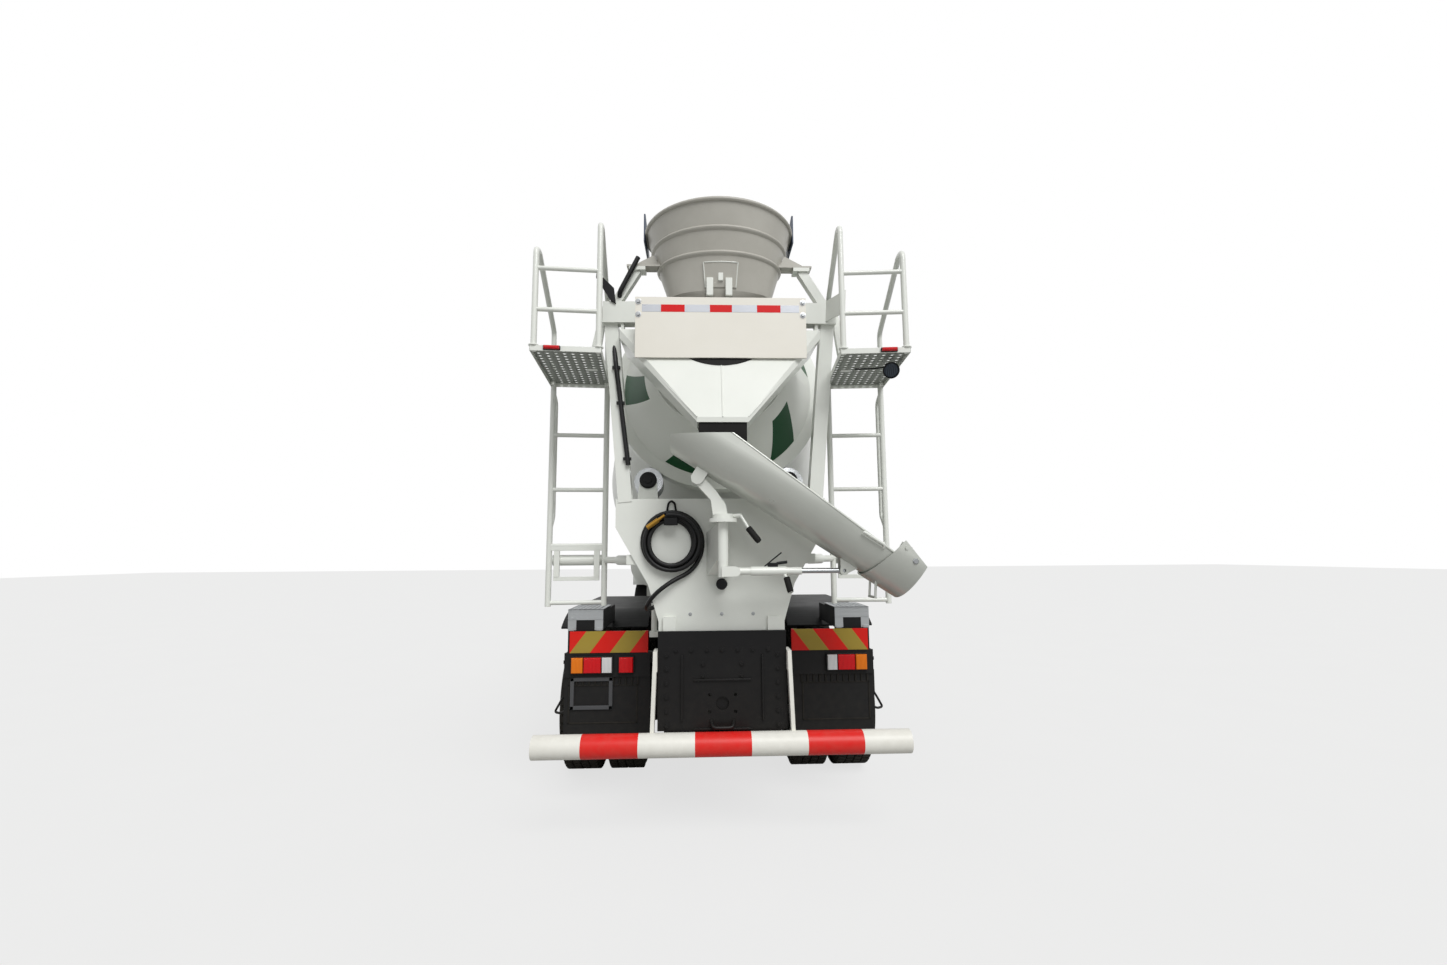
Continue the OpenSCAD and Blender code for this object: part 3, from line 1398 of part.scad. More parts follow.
grille_bars = 5;
module cab_front() color(white_paint) from_bar() {
    difference() {
        union() {
            shell_part(door_front_y + door_gap, cab_front_y + 1, cab_floor_z - 1, cab_top_z + 1);
            span([-cab_half, cab_front_y - cab_wall, front_panel_z], [cab_half, cab_front_y, cab_floor_z + 1]);
        }
        span([-floor_half, cab_back_y, cab_floor_z - 2], [floor_half, cab_front_y - cab_wall, floor_top + 10]);
        // windscreen opening
        span([-cab_half + 120, cab_front_y - 420, screen_low_z],
             [cab_half - 120, cab_front_y + 10, screen_high_z]);
        // grille slots
        for (i = [0 : grille_bars - 1])
            span([-620, cab_front_y - 30, front_panel_z + 160 + i * 95],
                 [620, cab_front_y + 1, front_panel_z + 220 + i * 95]);
    }
    // hinge lugs
    both_sides()
        for (x = [cab_pin_x - 16 - hinge_lug_w / 2 - 6, cab_pin_x + 16 + hinge_lug_w / 2 + 6])
            difference() {
                span([x - 16, cab_hinge_y - 36, cab_hinge_z - 34],
                     [x + 16, cab_front_y - 20, cab_hinge_z + 70]);
                rod([x - 40, cab_hinge_y, cab_hinge_z],
                    [x + 40, cab_hinge_y, cab_hinge_z], cab_pin_r + run_gap);
            }
    // door hinge pins on the front corners
    both_sides()
        for (z = door_hinge_zs) {
            rod([door_hinge_x, door_hinge_y, z - 60], [door_hinge_x, door_hinge_y, z + 60], hinge_pin_r);
            for (end = [-1, 1])
                translate([0, 0, z + end * 52]) {
                    span([cab_half + 5, door_hinge_y - 14, -10], [door_hinge_x + 14, door_front_y + 60, 10]);
                    span([cab_half - 20, door_front_y + 20, -10], [cab_half + 6, door_front_y + 60, 10]);
                }
        }
}

door_hinge_zs = [1420, 1960];
hinge_pin_r = 10;
hinge_eye_r = 20;
door_hinge_x = cab_half + hinge_eye_r + 6;
door_hinge_y = door_front_y + door_gap / 2;

module door(side) color(white_paint) from_bar() on_side(side) {
    difference() {
        union() {
            intersection() {
                side_profile(cab_half - cab_wall, cab_half) polygon(cab_outline(0));
                span([0, door_back_y, cab_floor_z + 10], [cab_w, door_front_y, roof_z - door_gap]);
            }
            for (z = door_hinge_zs) {
                rod([door_hinge_x, door_hinge_y, z - 38], [door_hinge_x, door_hinge_y, z + 38], hinge_eye_r);
                span([cab_half - 10, door_hinge_y - 60, z - 38], [door_hinge_x, door_hinge_y - 14, z + 38]);
                span([door_hinge_x - 8, door_hinge_y - 60, z - 38],
                     [door_hinge_x + 8, door_hinge_y - 6, z + 38]);
            }
            // pull handle
            span([cab_half - 1, door_back_y + 60, 1900], [cab_half + 26, door_back_y + 240, 1940]);
        }
        for (z = door_hinge_zs)
            rod([door_hinge_x, door_hinge_y, z - 100],
                [door_hinge_x, door_hinge_y, z + 100], hinge_pin_r + run_gap);
        door_window(0);
    }
}

// Window of a door, its sill lower towards the front.
module door_window(inset)
    side_profile(cab_half - cab_wall - 1, cab_half + 1)
        polygon([
            [door_back_y + 110 + inset, 1980 + inset], [door_back_y + 500, 1980 + inset],
            [door_front_y - 80 - inset, 1860 + inset], [door_front_y - 80 - inset, roof_z - 130 - inset],
            [door_back_y + 110 + inset, roof_z - 130 - inset]
        ]);

module door_glass(side) color("lightsteelblue") from_bar() on_side(side)
    intersection() {
        door_window(0);
        span([cab_half - cab_wall / 2 - glass_t / 2, 0, 0],
             [cab_half - cab_wall / 2 + glass_t / 2, cab_front_y, cab_top_z]);
    }

module windscreen() color("lightsteelblue") from_bar() intersection() {
    difference() {
        side_profile(-cab_half + 120, cab_half - 120) polygon(cab_outline(cab_wall / 2 - glass_t / 2));
        side_profile(-cab_half, cab_half) polygon(cab_outline(cab_wall / 2 + glass_t / 2));
    }
    span([-cab_half + 120, cab_front_y - 420, screen_low_z], [cab_half - 120, cab_front_y + 10, screen_high_z]);
}

module seat(x) {
    span([x - 180, cab_back_y + 620, floor_top], [x + 180, cab_back_y + 1000, floor_top + 260]);
    span([x - 250, cab_back_y + 560, floor_top + 259], [x + 250, cab_back_y + 1100, floor_top + 390]);
    translate([x, cab_back_y + 620, floor_top + 330])
        rotate([12, 0, 0]) span([-240, -70, 0], [240, 60, 700]);
}

wheel_x = -520;
module cab_interior() color("#3a3c40") from_bar() {
    seat(-520);
    seat(520);
    // dashboard with the steering column and wheel
    span([-cab_half + cab_wall + 10, cab_front_y - 520, 1640],
         [cab_half - cab_wall - 10, cab_front_y - cab_wall - 8, 1930]);
    span([-200, cab_front_y - 480, floor_top], [200, cab_front_y - 130, 1640 - seat_gap]);
    rod([wheel_x, cab_front_y - 420, 1760], [wheel_x, cab_front_y - 640, 2000], 36);
    translate([wheel_x, cab_front_y - 640, 2000]) rotate([42, 0, 0]) translate([0, 0, 1]) {
        rotate_extrude() translate([215, 13]) circle(r = 17);
        for (a = [90, 210, 330]) rotate([0, 0, a]) rod([40, 0, 13], [215, 0, 13], 11);
        cylinder(r = 60, h = 28);
    }
}

mirror_y = cab_front_y - 200;
module mirrors() color(dark_plastic) from_bar() both_sides() {
    for (z = [2060, 2520])
        rod([cab_half, mirror_y + 20, z], [cab_half + 160, mirror_y + 20, z], 14);
    span([cab_half + 100, mirror_y - 20, 2000], [cab_half + 290, mirror_y + 70, 2400]);
    span([cab_half + 110, mirror_y - 10, 2399], [cab_half + 280, mirror_y + 66, 2600]);
}

// Front bumper and head lamps

bumper_back_y = cab_front_y - 260;
bumper_top = 900;
bumper_low = 380;
lamp_x0 = 760;
module front_bumper() color(dark_plastic) from_bar() {
    difference() {
        side_profile(-cab_half, cab_half)
            polygon(concat(
                [[bumper_back_y, bumper_low + 60]],
                arc(bumper_front_y - 70, bumper_low + 70, 70, -90, 0, 6),
                arc(bumper_front_y - 40, bumper_top - 40, 40, 0, 90, 6),
                [[bumper_back_y, bumper_top]]));
        span([-cab_half + 60, bumper_back_y - 1, bumper_low - 1],
             [cab_half - 60, bumper_front_y - 60, bumper_top - 40]);
        both_sides()
            span([lamp_x0, bumper_front_y - 61, 640], [cab_half - 90, bumper_front_y + 1, 840]);
        // open top over the frame's front end
        span([-frame_w / 2 - 60, bumper_back_y - 1, bumper_top - 60],
             [frame_w / 2 + 60, bumper_front_y - 60, bumper_top + 1]);
    }
    both_sides()
        span([frame_w / 2, frame_front_y - 150, rail_top - 240],
             [frame_w / 2 + 26, bumper_front_y - 59, rail_top - 160]);
}

module head_lamp_blocks() both_sides()
    span([lamp_x0 + seat_gap, bumper_front_y - 50, 640 + seat_gap],
         [cab_half - 90 - seat_gap, bumper_front_y - 10, 840 - seat_gap]);

frame();
powertrain();
front_axle();
rear_axles();
leaf_springs();
knuckle(-1);  // knuckle_left
knuckle(1);  // knuckle_right
color(rubber) front_tyre(-1);  // tyre_front_left
color(rubber) front_tyre(1);  // tyre_front_right
color("silver") front_rim(-1);  // rim_front_left
color("silver") front_rim(1);  // rim_front_right
color(rubber) twin_tyres(mid_axle_y, -1);  // tyres_mid_left
color(rubber) twin_tyres(mid_axle_y, 1);  // tyres_mid_right
color("silver") twin_rims(mid_axle_y, -1);  // rims_mid_left
color("silver") twin_rims(mid_axle_y, 1);  // rims_mid_right
color(rubber) twin_tyres(last_axle_y, -1);  // tyres_last_left
color(rubber) twin_tyres(last_axle_y, 1);  // tyres_last_right
color("silver") twin_rims(last_axle_y, -1);  // rims_last_left
color("silver") twin_rims(last_axle_y, 1);  // rims_last_right
drum_rear_shell();
drum_front_shell();
front_pedestal();
rear_stand();
drum_roller(-1);  // roller_left
drum_roller(1);  // roller_right
feed_hopper();
discharge_hopper();
apron();
ladder(-1);  // ladder_left
ladder(1);  // ladder_right
chute_swing();
chute();
chute_flap();
strut_barrel();
strut_rod();
mudguards();
underrun_bar();
lamps();
rear_boards();
hose_coil();
hose_tail();
hose_nozzle();
fuel_tank();
water_tank();
battery_box();
cab_floor();
cab_back();
cab_roof();
cab_front();
cab_interior();
windscreen();
door(-1);  // door_left
door(1);  // door_right
door_glass(-1);  // door_glass_left
door_glass(1);  // door_glass_right
mirrors();
front_bumper();
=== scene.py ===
# %% [markdown]
# # A concrete mixer truck, seen from behind
# The solids of the truck come from the shared frame: chassis, cab, drum, hoppers, chute and wheels, each already in
# place. This lesson dresses them. It gives every solid a finish, and makes the things that a plain solid lacks: the
# hose, the tyre treads, the perforated platforms, the lamps and the bolts.

# %% The frame
import math

import bmesh
import bpy
from mathutils import Matrix, Vector


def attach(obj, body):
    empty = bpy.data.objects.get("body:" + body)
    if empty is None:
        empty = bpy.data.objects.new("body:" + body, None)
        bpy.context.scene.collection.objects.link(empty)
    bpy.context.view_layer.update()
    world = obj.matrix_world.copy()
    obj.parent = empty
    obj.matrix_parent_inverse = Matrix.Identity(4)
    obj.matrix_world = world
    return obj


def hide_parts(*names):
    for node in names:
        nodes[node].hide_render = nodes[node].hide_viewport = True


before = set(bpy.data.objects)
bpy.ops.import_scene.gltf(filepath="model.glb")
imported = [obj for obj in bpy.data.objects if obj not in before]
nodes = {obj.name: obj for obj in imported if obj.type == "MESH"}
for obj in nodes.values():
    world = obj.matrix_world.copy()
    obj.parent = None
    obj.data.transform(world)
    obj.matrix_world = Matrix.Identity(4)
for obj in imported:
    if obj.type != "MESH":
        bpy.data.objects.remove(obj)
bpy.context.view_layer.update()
scene = bpy.context.scene
scene.view_settings.view_transform = "Standard"

# The drawings of the truck measure in millimetres forward of the striped bar at its tail.
BAR_Y = -3763


def at(x, s, z):
    """A point in metres from millimetres: x to the right, s forward of the bar, z above the ground."""
    return Vector((x, s + BAR_Y, z)) / 1000


# %% [markdown]
# ## Camera
# The photograph was taken from close behind, at eye height, with a wide lens tilted up a little. The camera is built
# from its three angles as a matrix, because the small roll of a hand-held shot is then one more turn of the axes.

# %% Camera
IMAGE_W, FOCAL_PX, SENSOR_MM = 1447, 590, 36
CAMERA_AT = at(-123, -3700, 1720)
pitch, yaw, roll = (math.radians(a) for a in (6.8, 2.1, -0.4))

forward = Vector((math.sin(yaw) * math.cos(pitch), math.cos(yaw) * math.cos(pitch), math.sin(pitch)))
level = Vector((math.cos(yaw), -math.sin(yaw), 0))
upright = level.cross(forward)
right = level * math.cos(roll) + upright * math.sin(roll)
up = upright * math.cos(roll) - level * math.sin(roll)

camera = bpy.data.objects.new("camera", bpy.data.cameras.new("camera"))
camera.data.sensor_width = SENSOR_MM
camera.data.lens = SENSOR_MM * FOCAL_PX / IMAGE_W
camera.data.clip_end = 200
turn = Matrix((right, up, -forward)).transposed().to_4x4()
camera.matrix_world = Matrix.Translation(CAMERA_AT) @ turn
scene.collection.objects.link(camera)
scene.camera = camera
print("lens:", round(camera.data.lens, 2), "mm")

# %% [markdown]
# ## Nodes and finishes
# A finish starts from what the real surface is. Most of this truck is sprayed enamel on steel: it has a faint orange
# peel, a soft clear gloss and a little road dust near the ground. One function adds a node to a tree, and one makes a
# sprayed or moulded surface from sizes in millimetres, so that every finish has the right grain.


# %% Node helper and colour helper
def put(tree, kind, feeds=None, **settings):
    """Adds one node with its settings. Each input gets a value, a socket, or the first output of a node."""
    node = tree.nodes.new(kind)
    for key, value in settings.items():
        setattr(node, key, value)
    for socket, source in (feeds or {}).items():
        source = source.outputs[0] if isinstance(source, bpy.types.Node) else source
        if isinstance(source, bpy.types.NodeSocket):
            tree.links.new(source, node.inputs[socket])
        else:
            node.inputs[socket].default_value = source
    return node


def linear(hex_code):
    """An sRGB hex colour as linear red, green, blue and alpha."""
    parts = [int(hex_code[i:i + 2], 16) / 255 for i in (0, 2, 4)]
    return [c / 12.92 if c <= 0.04045 else ((c + 0.055) / 1.055) ** 2.4 for c in parts] + [1.0]


def new_finish(name):
    """An empty finish, its tree, and the socket with the place on the object."""
    finish = bpy.data.materials.new(name)
    finish.use_nodes = True
    tree = finish.node_tree
    tree.nodes.clear()
    return finish, tree, put(tree, "ShaderNodeTexCoord").outputs["Object"]


def surface(tree, colour, roughness, metallic=0.0, coat=0.0, bump=None, bump_mm=0.0, **more):
    """Ends a finish: the shader with its colour and roughness sockets, and a bump of some millimetres."""
    feeds = {"Base Color": colour, "Roughness": roughness, "Metallic": metallic, "Coat Weight": coat}
    feeds.update(more)
    if bump is not None:
        feeds["Normal"] = put(tree, "ShaderNodeBump", {"Height": bump, "Distance": bump_mm / 1000, "Strength": 1.0})
    put(tree, "ShaderNodeOutputMaterial", {"Surface": put(tree, "ShaderNodeBsdfPrincipled", feeds)})


DUST = "8d8474"
DUST_LOW_M = 0.15
MOTTLE_MM, SPECK_MM, GLOSS_PATCH_MM = 350, 45, 160


def weathered(tree, place, clean, worn, dust, dust_top_mm=1400):
    """A colour that drifts between clean and worn, with a share of dust that fades out towards a height."""
    drift = put(tree, "ShaderNodeTexNoise", {"Vector": place, "Scale": 1000 / MOTTLE_MM, "Detail": 5.0,
                                             "Roughness": 0.6})
    mix = put(tree, "ShaderNodeMix", {0: drift, 6: linear(clean), 7: linear(worn)}, data_type="RGBA")
    specks = put(tree, "ShaderNodeTexNoise", {"Vector": place, "Scale": 1000 / SPECK_MM, "Detail": 6.0})
    on_ground = put(tree, "ShaderNodeMapRange", {0: specks, 3: 0.0, 4: dust})
    height = put(tree, "ShaderNodeSeparateXYZ", {0: place}).outputs[2]
    share = put(tree, "ShaderNodeMapRange", {0: height, 1: DUST_LOW_M, 2: dust_top_mm / 1000, 3: on_ground, 4: 0.0})
    dusty = put(tree, "ShaderNodeMix", {0: share, 6: mix.outputs[2], 7: linear(DUST)}, data_type="RGBA")
    return dusty.outputs[2]


def paint(tree, place, colour, rough, spread, grain, metallic=0.0, coat=0.0, shine=0.5):
    """Ends a painted finish: gloss that drifts about a value, and a grain of a size and a depth in millimetres."""
    patch = put(tree, "ShaderNodeTexNoise", {"Vector": place, "Scale": 1000 / GLOSS_PATCH_MM, "Detail": 4.0})
    gloss = put(tree, "ShaderNodeMapRange", {0: patch, 3: rough - spread, 4: rough + spread + 0.02})
    relief = put(tree, "ShaderNodeTexNoise", {"Vector": place, "Scale": 1000 / grain[0], "Detail": 2.0})
    surface(tree, colour, gloss, metallic, coat, relief, grain[1], **{"Specular IOR Level": shine})


def sprayed(name, clean, worn, rough, grain, dust=0.35, **look):
    """A sprayed, moulded or cast surface in one drifting colour."""
    finish, tree, place = new_finish(name)
    paint(tree, place, weathered(tree, place, clean, worn, dust), rough, 0.07, grain, **look)
    return finish


# %% Finishes
# Two-pack white enamel, sprayed: bright, slightly warm, with orange peel under a soft gloss.
WHITE = sprayed("white_enamel", "e9ebe5", "dcdfd8", 0.33, (5, 0.04), coat=0.3)
# Silver-grey enamel of the chute, sprayed over concrete-worn steel: satin, with scuffs.
CHUTE = sprayed("silver_grey_enamel", "d3d5cf", "bfc2bb", 0.3, (14, 0.12), metallic=0.45)
# Grey-beige enamel inside and outside the feed hopper, a little beige and duller than the white: its darker tone is
# painted shade of the funnel's downward faces.
HOPPER_PAINTED_SHADE = sprayed("hopper_enamel_painted_shade", "c2c0b8", "a3a097", 0.4, (8, 0.08), coat=0.1)
# Black chassis paint, brushed and sprayed on rolled steel: semi-gloss, greyed by dust.
BLACK = sprayed("chassis_black", "0b0b0d", "131315", 0.4, (9, 0.15), dust=0.08, shine=0.22)
# Moulded polypropylene of mudguards and trim: fine leather grain, dull.
PLASTIC = sprayed("moulded_plastic", "0d0e10", "161719", 0.52, (3, 0.12), dust=0.08, shine=0.22)
# Vulcanised rubber of tyres and flaps: matt, greyed by dust.
RUBBER = sprayed("vulcanised_rubber", "111110", "1a1918", 0.7, (4, 0.15), dust=0.14, shine=0.2)
# Extruded rubber of the hose: smoother and a little shiny.
HOSE = sprayed("hose_rubber", "0d0d0e", "151516", 0.42, (5, 0.1), dust=0.1, shine=0.3)
# Painted steel wheels: silver paint with brake dust.
WHEEL = sprayed("wheel_silver", "9b9c9c", "7f7f7d", 0.42, (7, 0.08), metallic=0.6)
# Cast and painted iron of engine, gearbox, axles: dark grey, rough from the sand mould.
CAST = sprayed("cast_iron", "35373a", "2a2b2d", 0.6, (11, 0.5), metallic=0.4)
# Gloss white cab paint over pressed steel: smoother than the body's enamel, under clear lacquer.
CAB = sprayed("cab_paint", "eceeea", "e3e6e1", 0.22, (4, 0.02), coat=0.6, dust=0.25)
# Grey moulded trim inside the cab: soft-touch, very dull.
TRIM = sprayed("cabin_trim", "4a4b4d", "3d3e40", 0.72, (2.5, 0.2), dust=0.0)
# Bright turned steel of pins, rod and rollers: smooth, with machining haze.
STEEL = sprayed("turned_steel", "b9bbbd", "9da0a2", 0.28, (3, 0.03), metallic=1.0)
# Rolled aluminium of tanks and steps: pale, brushed by cleaning.
ALLOY = sprayed("rolled_aluminium", "c3c6c8", "aeb1b3", 0.36, (4, 0.05), metallic=0.9)
# Cast brass of the nozzle: warm, slightly tarnished.
BRASS = sprayed("cast_brass", "b58a3c", "8d6a2d", 0.35, (4, 0.06), metallic=1.0)
# Grey galvanised plate of the platforms seen from below: spangled zinc, dull.
ZINC = sprayed("galvanised_plate", "9fa39c", "8b8f89", 0.5, (18, 0.05), metallic=0.55)
# Slate-blue enamel of the splash plates, dull and a little chalky: the dark blue-grey is painted shade, for plates
# that stand edge-on in shade.
SLATE_PAINTED_SHADE = sprayed("slate_blue_painted_shade", "33435a", "2b384b", 0.5, (6, 0.05))
# Red signal enamel and reflective films: strong colour under a clear film.
RED = sprayed("signal_red_film", "e01015", "cf0c11", 0.34, (3, 0.02), shine=0.25)
SILVER_FILM = sprayed("silver_film", "c9ccd2", "b4b8c0", 0.3, (3, 0.03), metallic=0.3)
# Cream-white enamel of the sign board: flat, warm.
CREAM = sprayed("cream_enamel", "eeebe2", "e4e0d5", 0.4, (5, 0.03), coat=0.1)
print("finishes:", len(bpy.data.materials))

# %% [markdown]
# ## Patterns that belong to the truck
# Three pieces carry painted patterns. The bar at the tail has red bands, the hazard boards have red and olive-yellow
# diagonals, and the drum has dark green leaning blocks. Each is drawn from the Object coordinates, with arithmetic on
# a position, so it stays sharp at any size and turns with its body.


# %% Banded, striped and blocked finishes
def masked(name, mask_of, under, over, rough, shine, grain_mm=5):
    """Enamel in two colours: mask_of gives a socket that is 1 where the second colour lies."""
    finish, tree, place = new_finish(name)
    first, second = (weathered(tree, place, *pair, 0.3) for pair in (under, over))
    colour = put(tree, "ShaderNodeMix", {0: mask_of(tree, place), 6: first, 7: second}, data_type="RGBA").outputs[2]
    paint(tree, place, colour, rough, 0.06, (grain_mm, 0.04), shine=shine)
    return finish


BAND, BAR_TOP = 0.337, 0.655
STRIPE, STRIPE_LEAN, STRIPE_START = 0.275, 0.76, 0.041


def bar_bands(tree, place):
    """Seven bands along the bar: the second, fourth and sixth are red. The legs, higher up, stay white."""
    x, _, z = put(tree, "ShaderNodeSeparateXYZ", {0: place}).outputs
    wave = put(tree, "ShaderNodeMath", {0: x, 1: BAND}, operation="PINGPONG")
    red = put(tree, "ShaderNodeMath", {0: wave, 1: BAND / 2}, operation="LESS_THAN")
    low = put(tree, "ShaderNodeMath", {0: z, 1: BAR_TOP}, operation="LESS_THAN")
    return put(tree, "ShaderNodeMath", {0: red, 1: low}, operation="MULTIPLY")


def hazard_diagonals(tree, place):
    """Diagonals that lean outwards on both boards; the sign board above stays clear of them."""
    x, _, z = put(tree, "ShaderNodeSeparateXYZ", {0: place}).outputs
    out = put(tree, "ShaderNodeMath", {0: x}, operation="ABSOLUTE")
    value = put(tree, "ShaderNodeMath", {0: z, 1: STRIPE_LEAN, 2: out}, operation="MULTIPLY_ADD")
    for operation, number in (("SUBTRACT", STRIPE_START), ("FLOORED_MODULO", STRIPE), ("LESS_THAN", STRIPE / 2)):
        value = put(tree, "ShaderNodeMath", {0: value, 1: number}, operation=operation)
    return value


RING = at(0, 800, 2960)
DRUM_TILT = math.radians(11.5)
BLOCK_STEP = math.radians(66)
LAST_BLOCK_ANGLE = 2.4


def drum_blocks(tree, place):
    """Leaning blocks round the rear cone and the barrel, in the drum's own turned axes."""
    shift = -(Matrix.Rotation(math.pi / 2 + DRUM_TILT, 3, "X") @ RING)
    own = put(tree, "ShaderNodeMapping", {"Vector": place, "Location": shift,
                                          "Rotation": (math.pi / 2 + DRUM_TILT, 0, 0)})
    x, y, t = put(tree, "ShaderNodeSeparateXYZ", {0: own}).outputs
    angle = put(tree, "ShaderNodeMath", {0: x, 1: y}, operation="ARCTAN2")
    mask = 0.0
    for low, high, lean, wide, start in ((-0.325, -0.066, 0.83, 0.36, 0.51), (2.12, 3.05, 0.83, 0.58, 0.1)):
        value = put(tree, "ShaderNodeMath", {0: t, 1: lean, 2: angle}, operation="MULTIPLY_ADD")
        for operation, number in (("SUBTRACT", start), ("FLOORED_MODULO", BLOCK_STEP), ("LESS_THAN", wide)):
            value = put(tree, "ShaderNodeMath", {0: value, 1: number}, operation=operation)
        along = put(tree, "ShaderNodeMath", {0: t, 1: (low + high) / 2, 2: (high - low) / 2}, operation="COMPARE")
        patch = put(tree, "ShaderNodeMath", {0: value, 1: along}, operation="MULTIPLY")
        mask = put(tree, "ShaderNodeMath", {0: mask, 1: patch}, operation="MAXIMUM")
    below_top = put(tree, "ShaderNodeMath", {0: angle, 1: LAST_BLOCK_ANGLE}, operation="LESS_THAN")
    return put(tree, "ShaderNodeMath", {0: mask, 1: below_top}, operation="MULTIPLY")


BAR = masked("banded_bar_enamel", bar_bands, ("f0efe8", "e3e2da"), ("e60f0f", "d40c0d"), 0.34, 0.25)
HAZARD = masked("hazard_film", hazard_diagonals, ("e2150c", "cd110a"), ("a8913a", "978232"), 0.36, 0.25, 3)
DRUM = masked("drum_enamel", drum_blocks, ("e9ebe5", "dcdfd8"), ("0a4423", "0c4a28"), 0.34, 0.35)

# Toughened float glass: clear, with a slight green tint.
GLASS, tree, place = new_finish("float_glass")
surface(tree, weathered(tree, place, "b4c4c0", "b4c4c0", 0.1, 1500), 0.03,
        **{"Transmission Weight": 0.85, "IOR": 1.5})


def ribbed_lens(name, clear, deep, rib_mm=9):
    """Moulded acrylic lens: strong colour, with upright prisms that break the light."""
    finish, tree, place = new_finish(name)
    x = put(tree, "ShaderNodeSeparateXYZ", {0: place})
    rib = put(tree, "ShaderNodeMath", {0: x, 1: rib_mm / 2000}, operation="PINGPONG")
    share = put(tree, "ShaderNodeMapRange", {0: rib, 1: 0.0, 2: rib_mm / 2000})
    colour = put(tree, "ShaderNodeMix", {0: share, 6: linear(deep), 7: linear(clear)}, data_type="RGBA")
    surface(tree, colour.outputs[2], 0.2, 0.0, 0.0, share, 1.2, **{"Specular IOR Level": 0.35})
    return finish


LENS_RED = ribbed_lens("acrylic_red", "e3141c", "b50a12")
LENS_AMBER = ribbed_lens("acrylic_amber", "f5881a", "d0640c")
LENS_CLEAR = ribbed_lens("acrylic_clear", "eceae4", "b9bdc4")
LENS_SMOKED = ribbed_lens("acrylic_smoked", "47525f", "262d36", 12)
print("finishes:", len(bpy.data.materials))

# %% [markdown]
# ## Painting the solids
# Every solid that stays visible gets its finish here. A solid that a finer piece stands for later is hidden then.

# %% Painted solids
PAINTED = {
    "powertrain front_axle rear_axles": CAST,
    "frame leaf_springs knuckle_left knuckle_right": BLACK,
    "front_pedestal rear_stand discharge_hopper ladder_left ladder_right chute_swing strut_barrel water_tank": WHITE,
    "feed_hopper": HOPPER_PAINTED_SHADE,
    "chute chute_flap": CHUTE,
    "strut_rod roller_left roller_right": STEEL,
    "apron": RUBBER,
    "drum_rear_shell drum_front_shell": DRUM,
    "mudguards battery_box front_bumper mirrors": PLASTIC,
    "underrun_bar": BAR,
    "rear_boards": HAZARD,
    "lamps": LENS_RED,
    "hose_coil hose_tail": HOSE,
    "hose_nozzle": BRASS,
    "fuel_tank": ALLOY,
    "cab_floor cab_back cab_roof cab_front door_left door_right": CAB,
    "cab_interior": TRIM,
    "windscreen door_glass_left door_glass_right": GLASS,
}
FINISH_OF = {name: finish for names, finish in PAINTED.items() for name in names.split()}
for name, node in nodes.items():
    finish = RUBBER if "tyre" in name else WHEEL if "rim" in name else FINISH_OF.get(name)
    if finish:
        node.data.materials.clear()
        node.data.materials.append(finish)
print("unpainted:", [n for n, o in nodes.items() if not o.data.materials])

# %% [markdown]
# ## The wash hose
# A rubber hose hangs from a hook on the rear stand. It leaves its valve beside the plate, bends round the plate's
# lower edge and then winds up on the hook: five turns in two layers, ending in a brass nozzle. A curve with a round
# bevel is the natural tool, because the length of its points is the length of the hose.

# %% Hose route
HOSE_D = 28
COIL_X, COIL_Z = -320, 1790
TAIL = [(-450, 380, 1360), (-451, 345, 1360), (-458, 303, 1359), (-473, 255, 1360), (-483, 200, 1368),
        (-475, 139, 1393), (-445, 89, 1436), (-398, 65, 1483), (-345, 67, 1523), (-292, 80, 1555)]
JOIN, LAST_TURN = -70, 1543


def smooth_through(points, per_span):
    """A smooth line through points: the Catmull-Rom rule, with some points for each span."""
    points = [Vector(p) for p in points]
    padded = [2 * points[0] - points[1]] + points + [2 * points[-1] - points[-2]]
    line = []
    for i in range(len(points) - 1):
        a, b, c, d = padded[i:i + 4]
        for k in range(per_span):
            t = k / per_span
            line.append(0.5 * (2 * b + (c - a) * t + (2 * a - 5 * b + 4 * c - d) * t ** 2
                               + (3 * b - a - 3 * c + d) * t ** 3))
    return line + [points[-1]]


def ease(value, low, high):
    """A share that grows softly from 0 at low to 1 at high."""
    share = min(max((value - low) / (high - low), 0), 1)
    return share * share * (3 - 2 * share)


def coil_point(degrees):
    """The winding at an angle that grows from the lowest turn: inwards in the far layer, outwards in the near one."""
    pitch_mm, first, near, far, front = 29.5, 88, 72.6, 102.6, 39.0
    first_r, outer_r, inner_r, last_r = 228, 199, 140, 172.7
    if degrees < 0:
        share = ease(degrees, -90, 0)
        radius, y = first_r + (outer_r - first_r) * share, first + (far - first) * share
    elif degrees < 720:
        radius, y = outer_r - pitch_mm * degrees / 360, far
    elif degrees < 900:
        radius, y = inner_r, far + (near - far) * ease(degrees, 720, 900)
    else:
        radius = inner_r + pitch_mm * (degrees - 900) / 360
        radius += (last_r - radius) * ease(degrees, 1440, LAST_TURN)
        y = near + (front - near) * ease(degrees, 1330, 1490)
    angle = math.radians(degrees)
    return Vector((COIL_X + radius * math.cos(angle), y, COIL_Z + radius * math.sin(angle)))


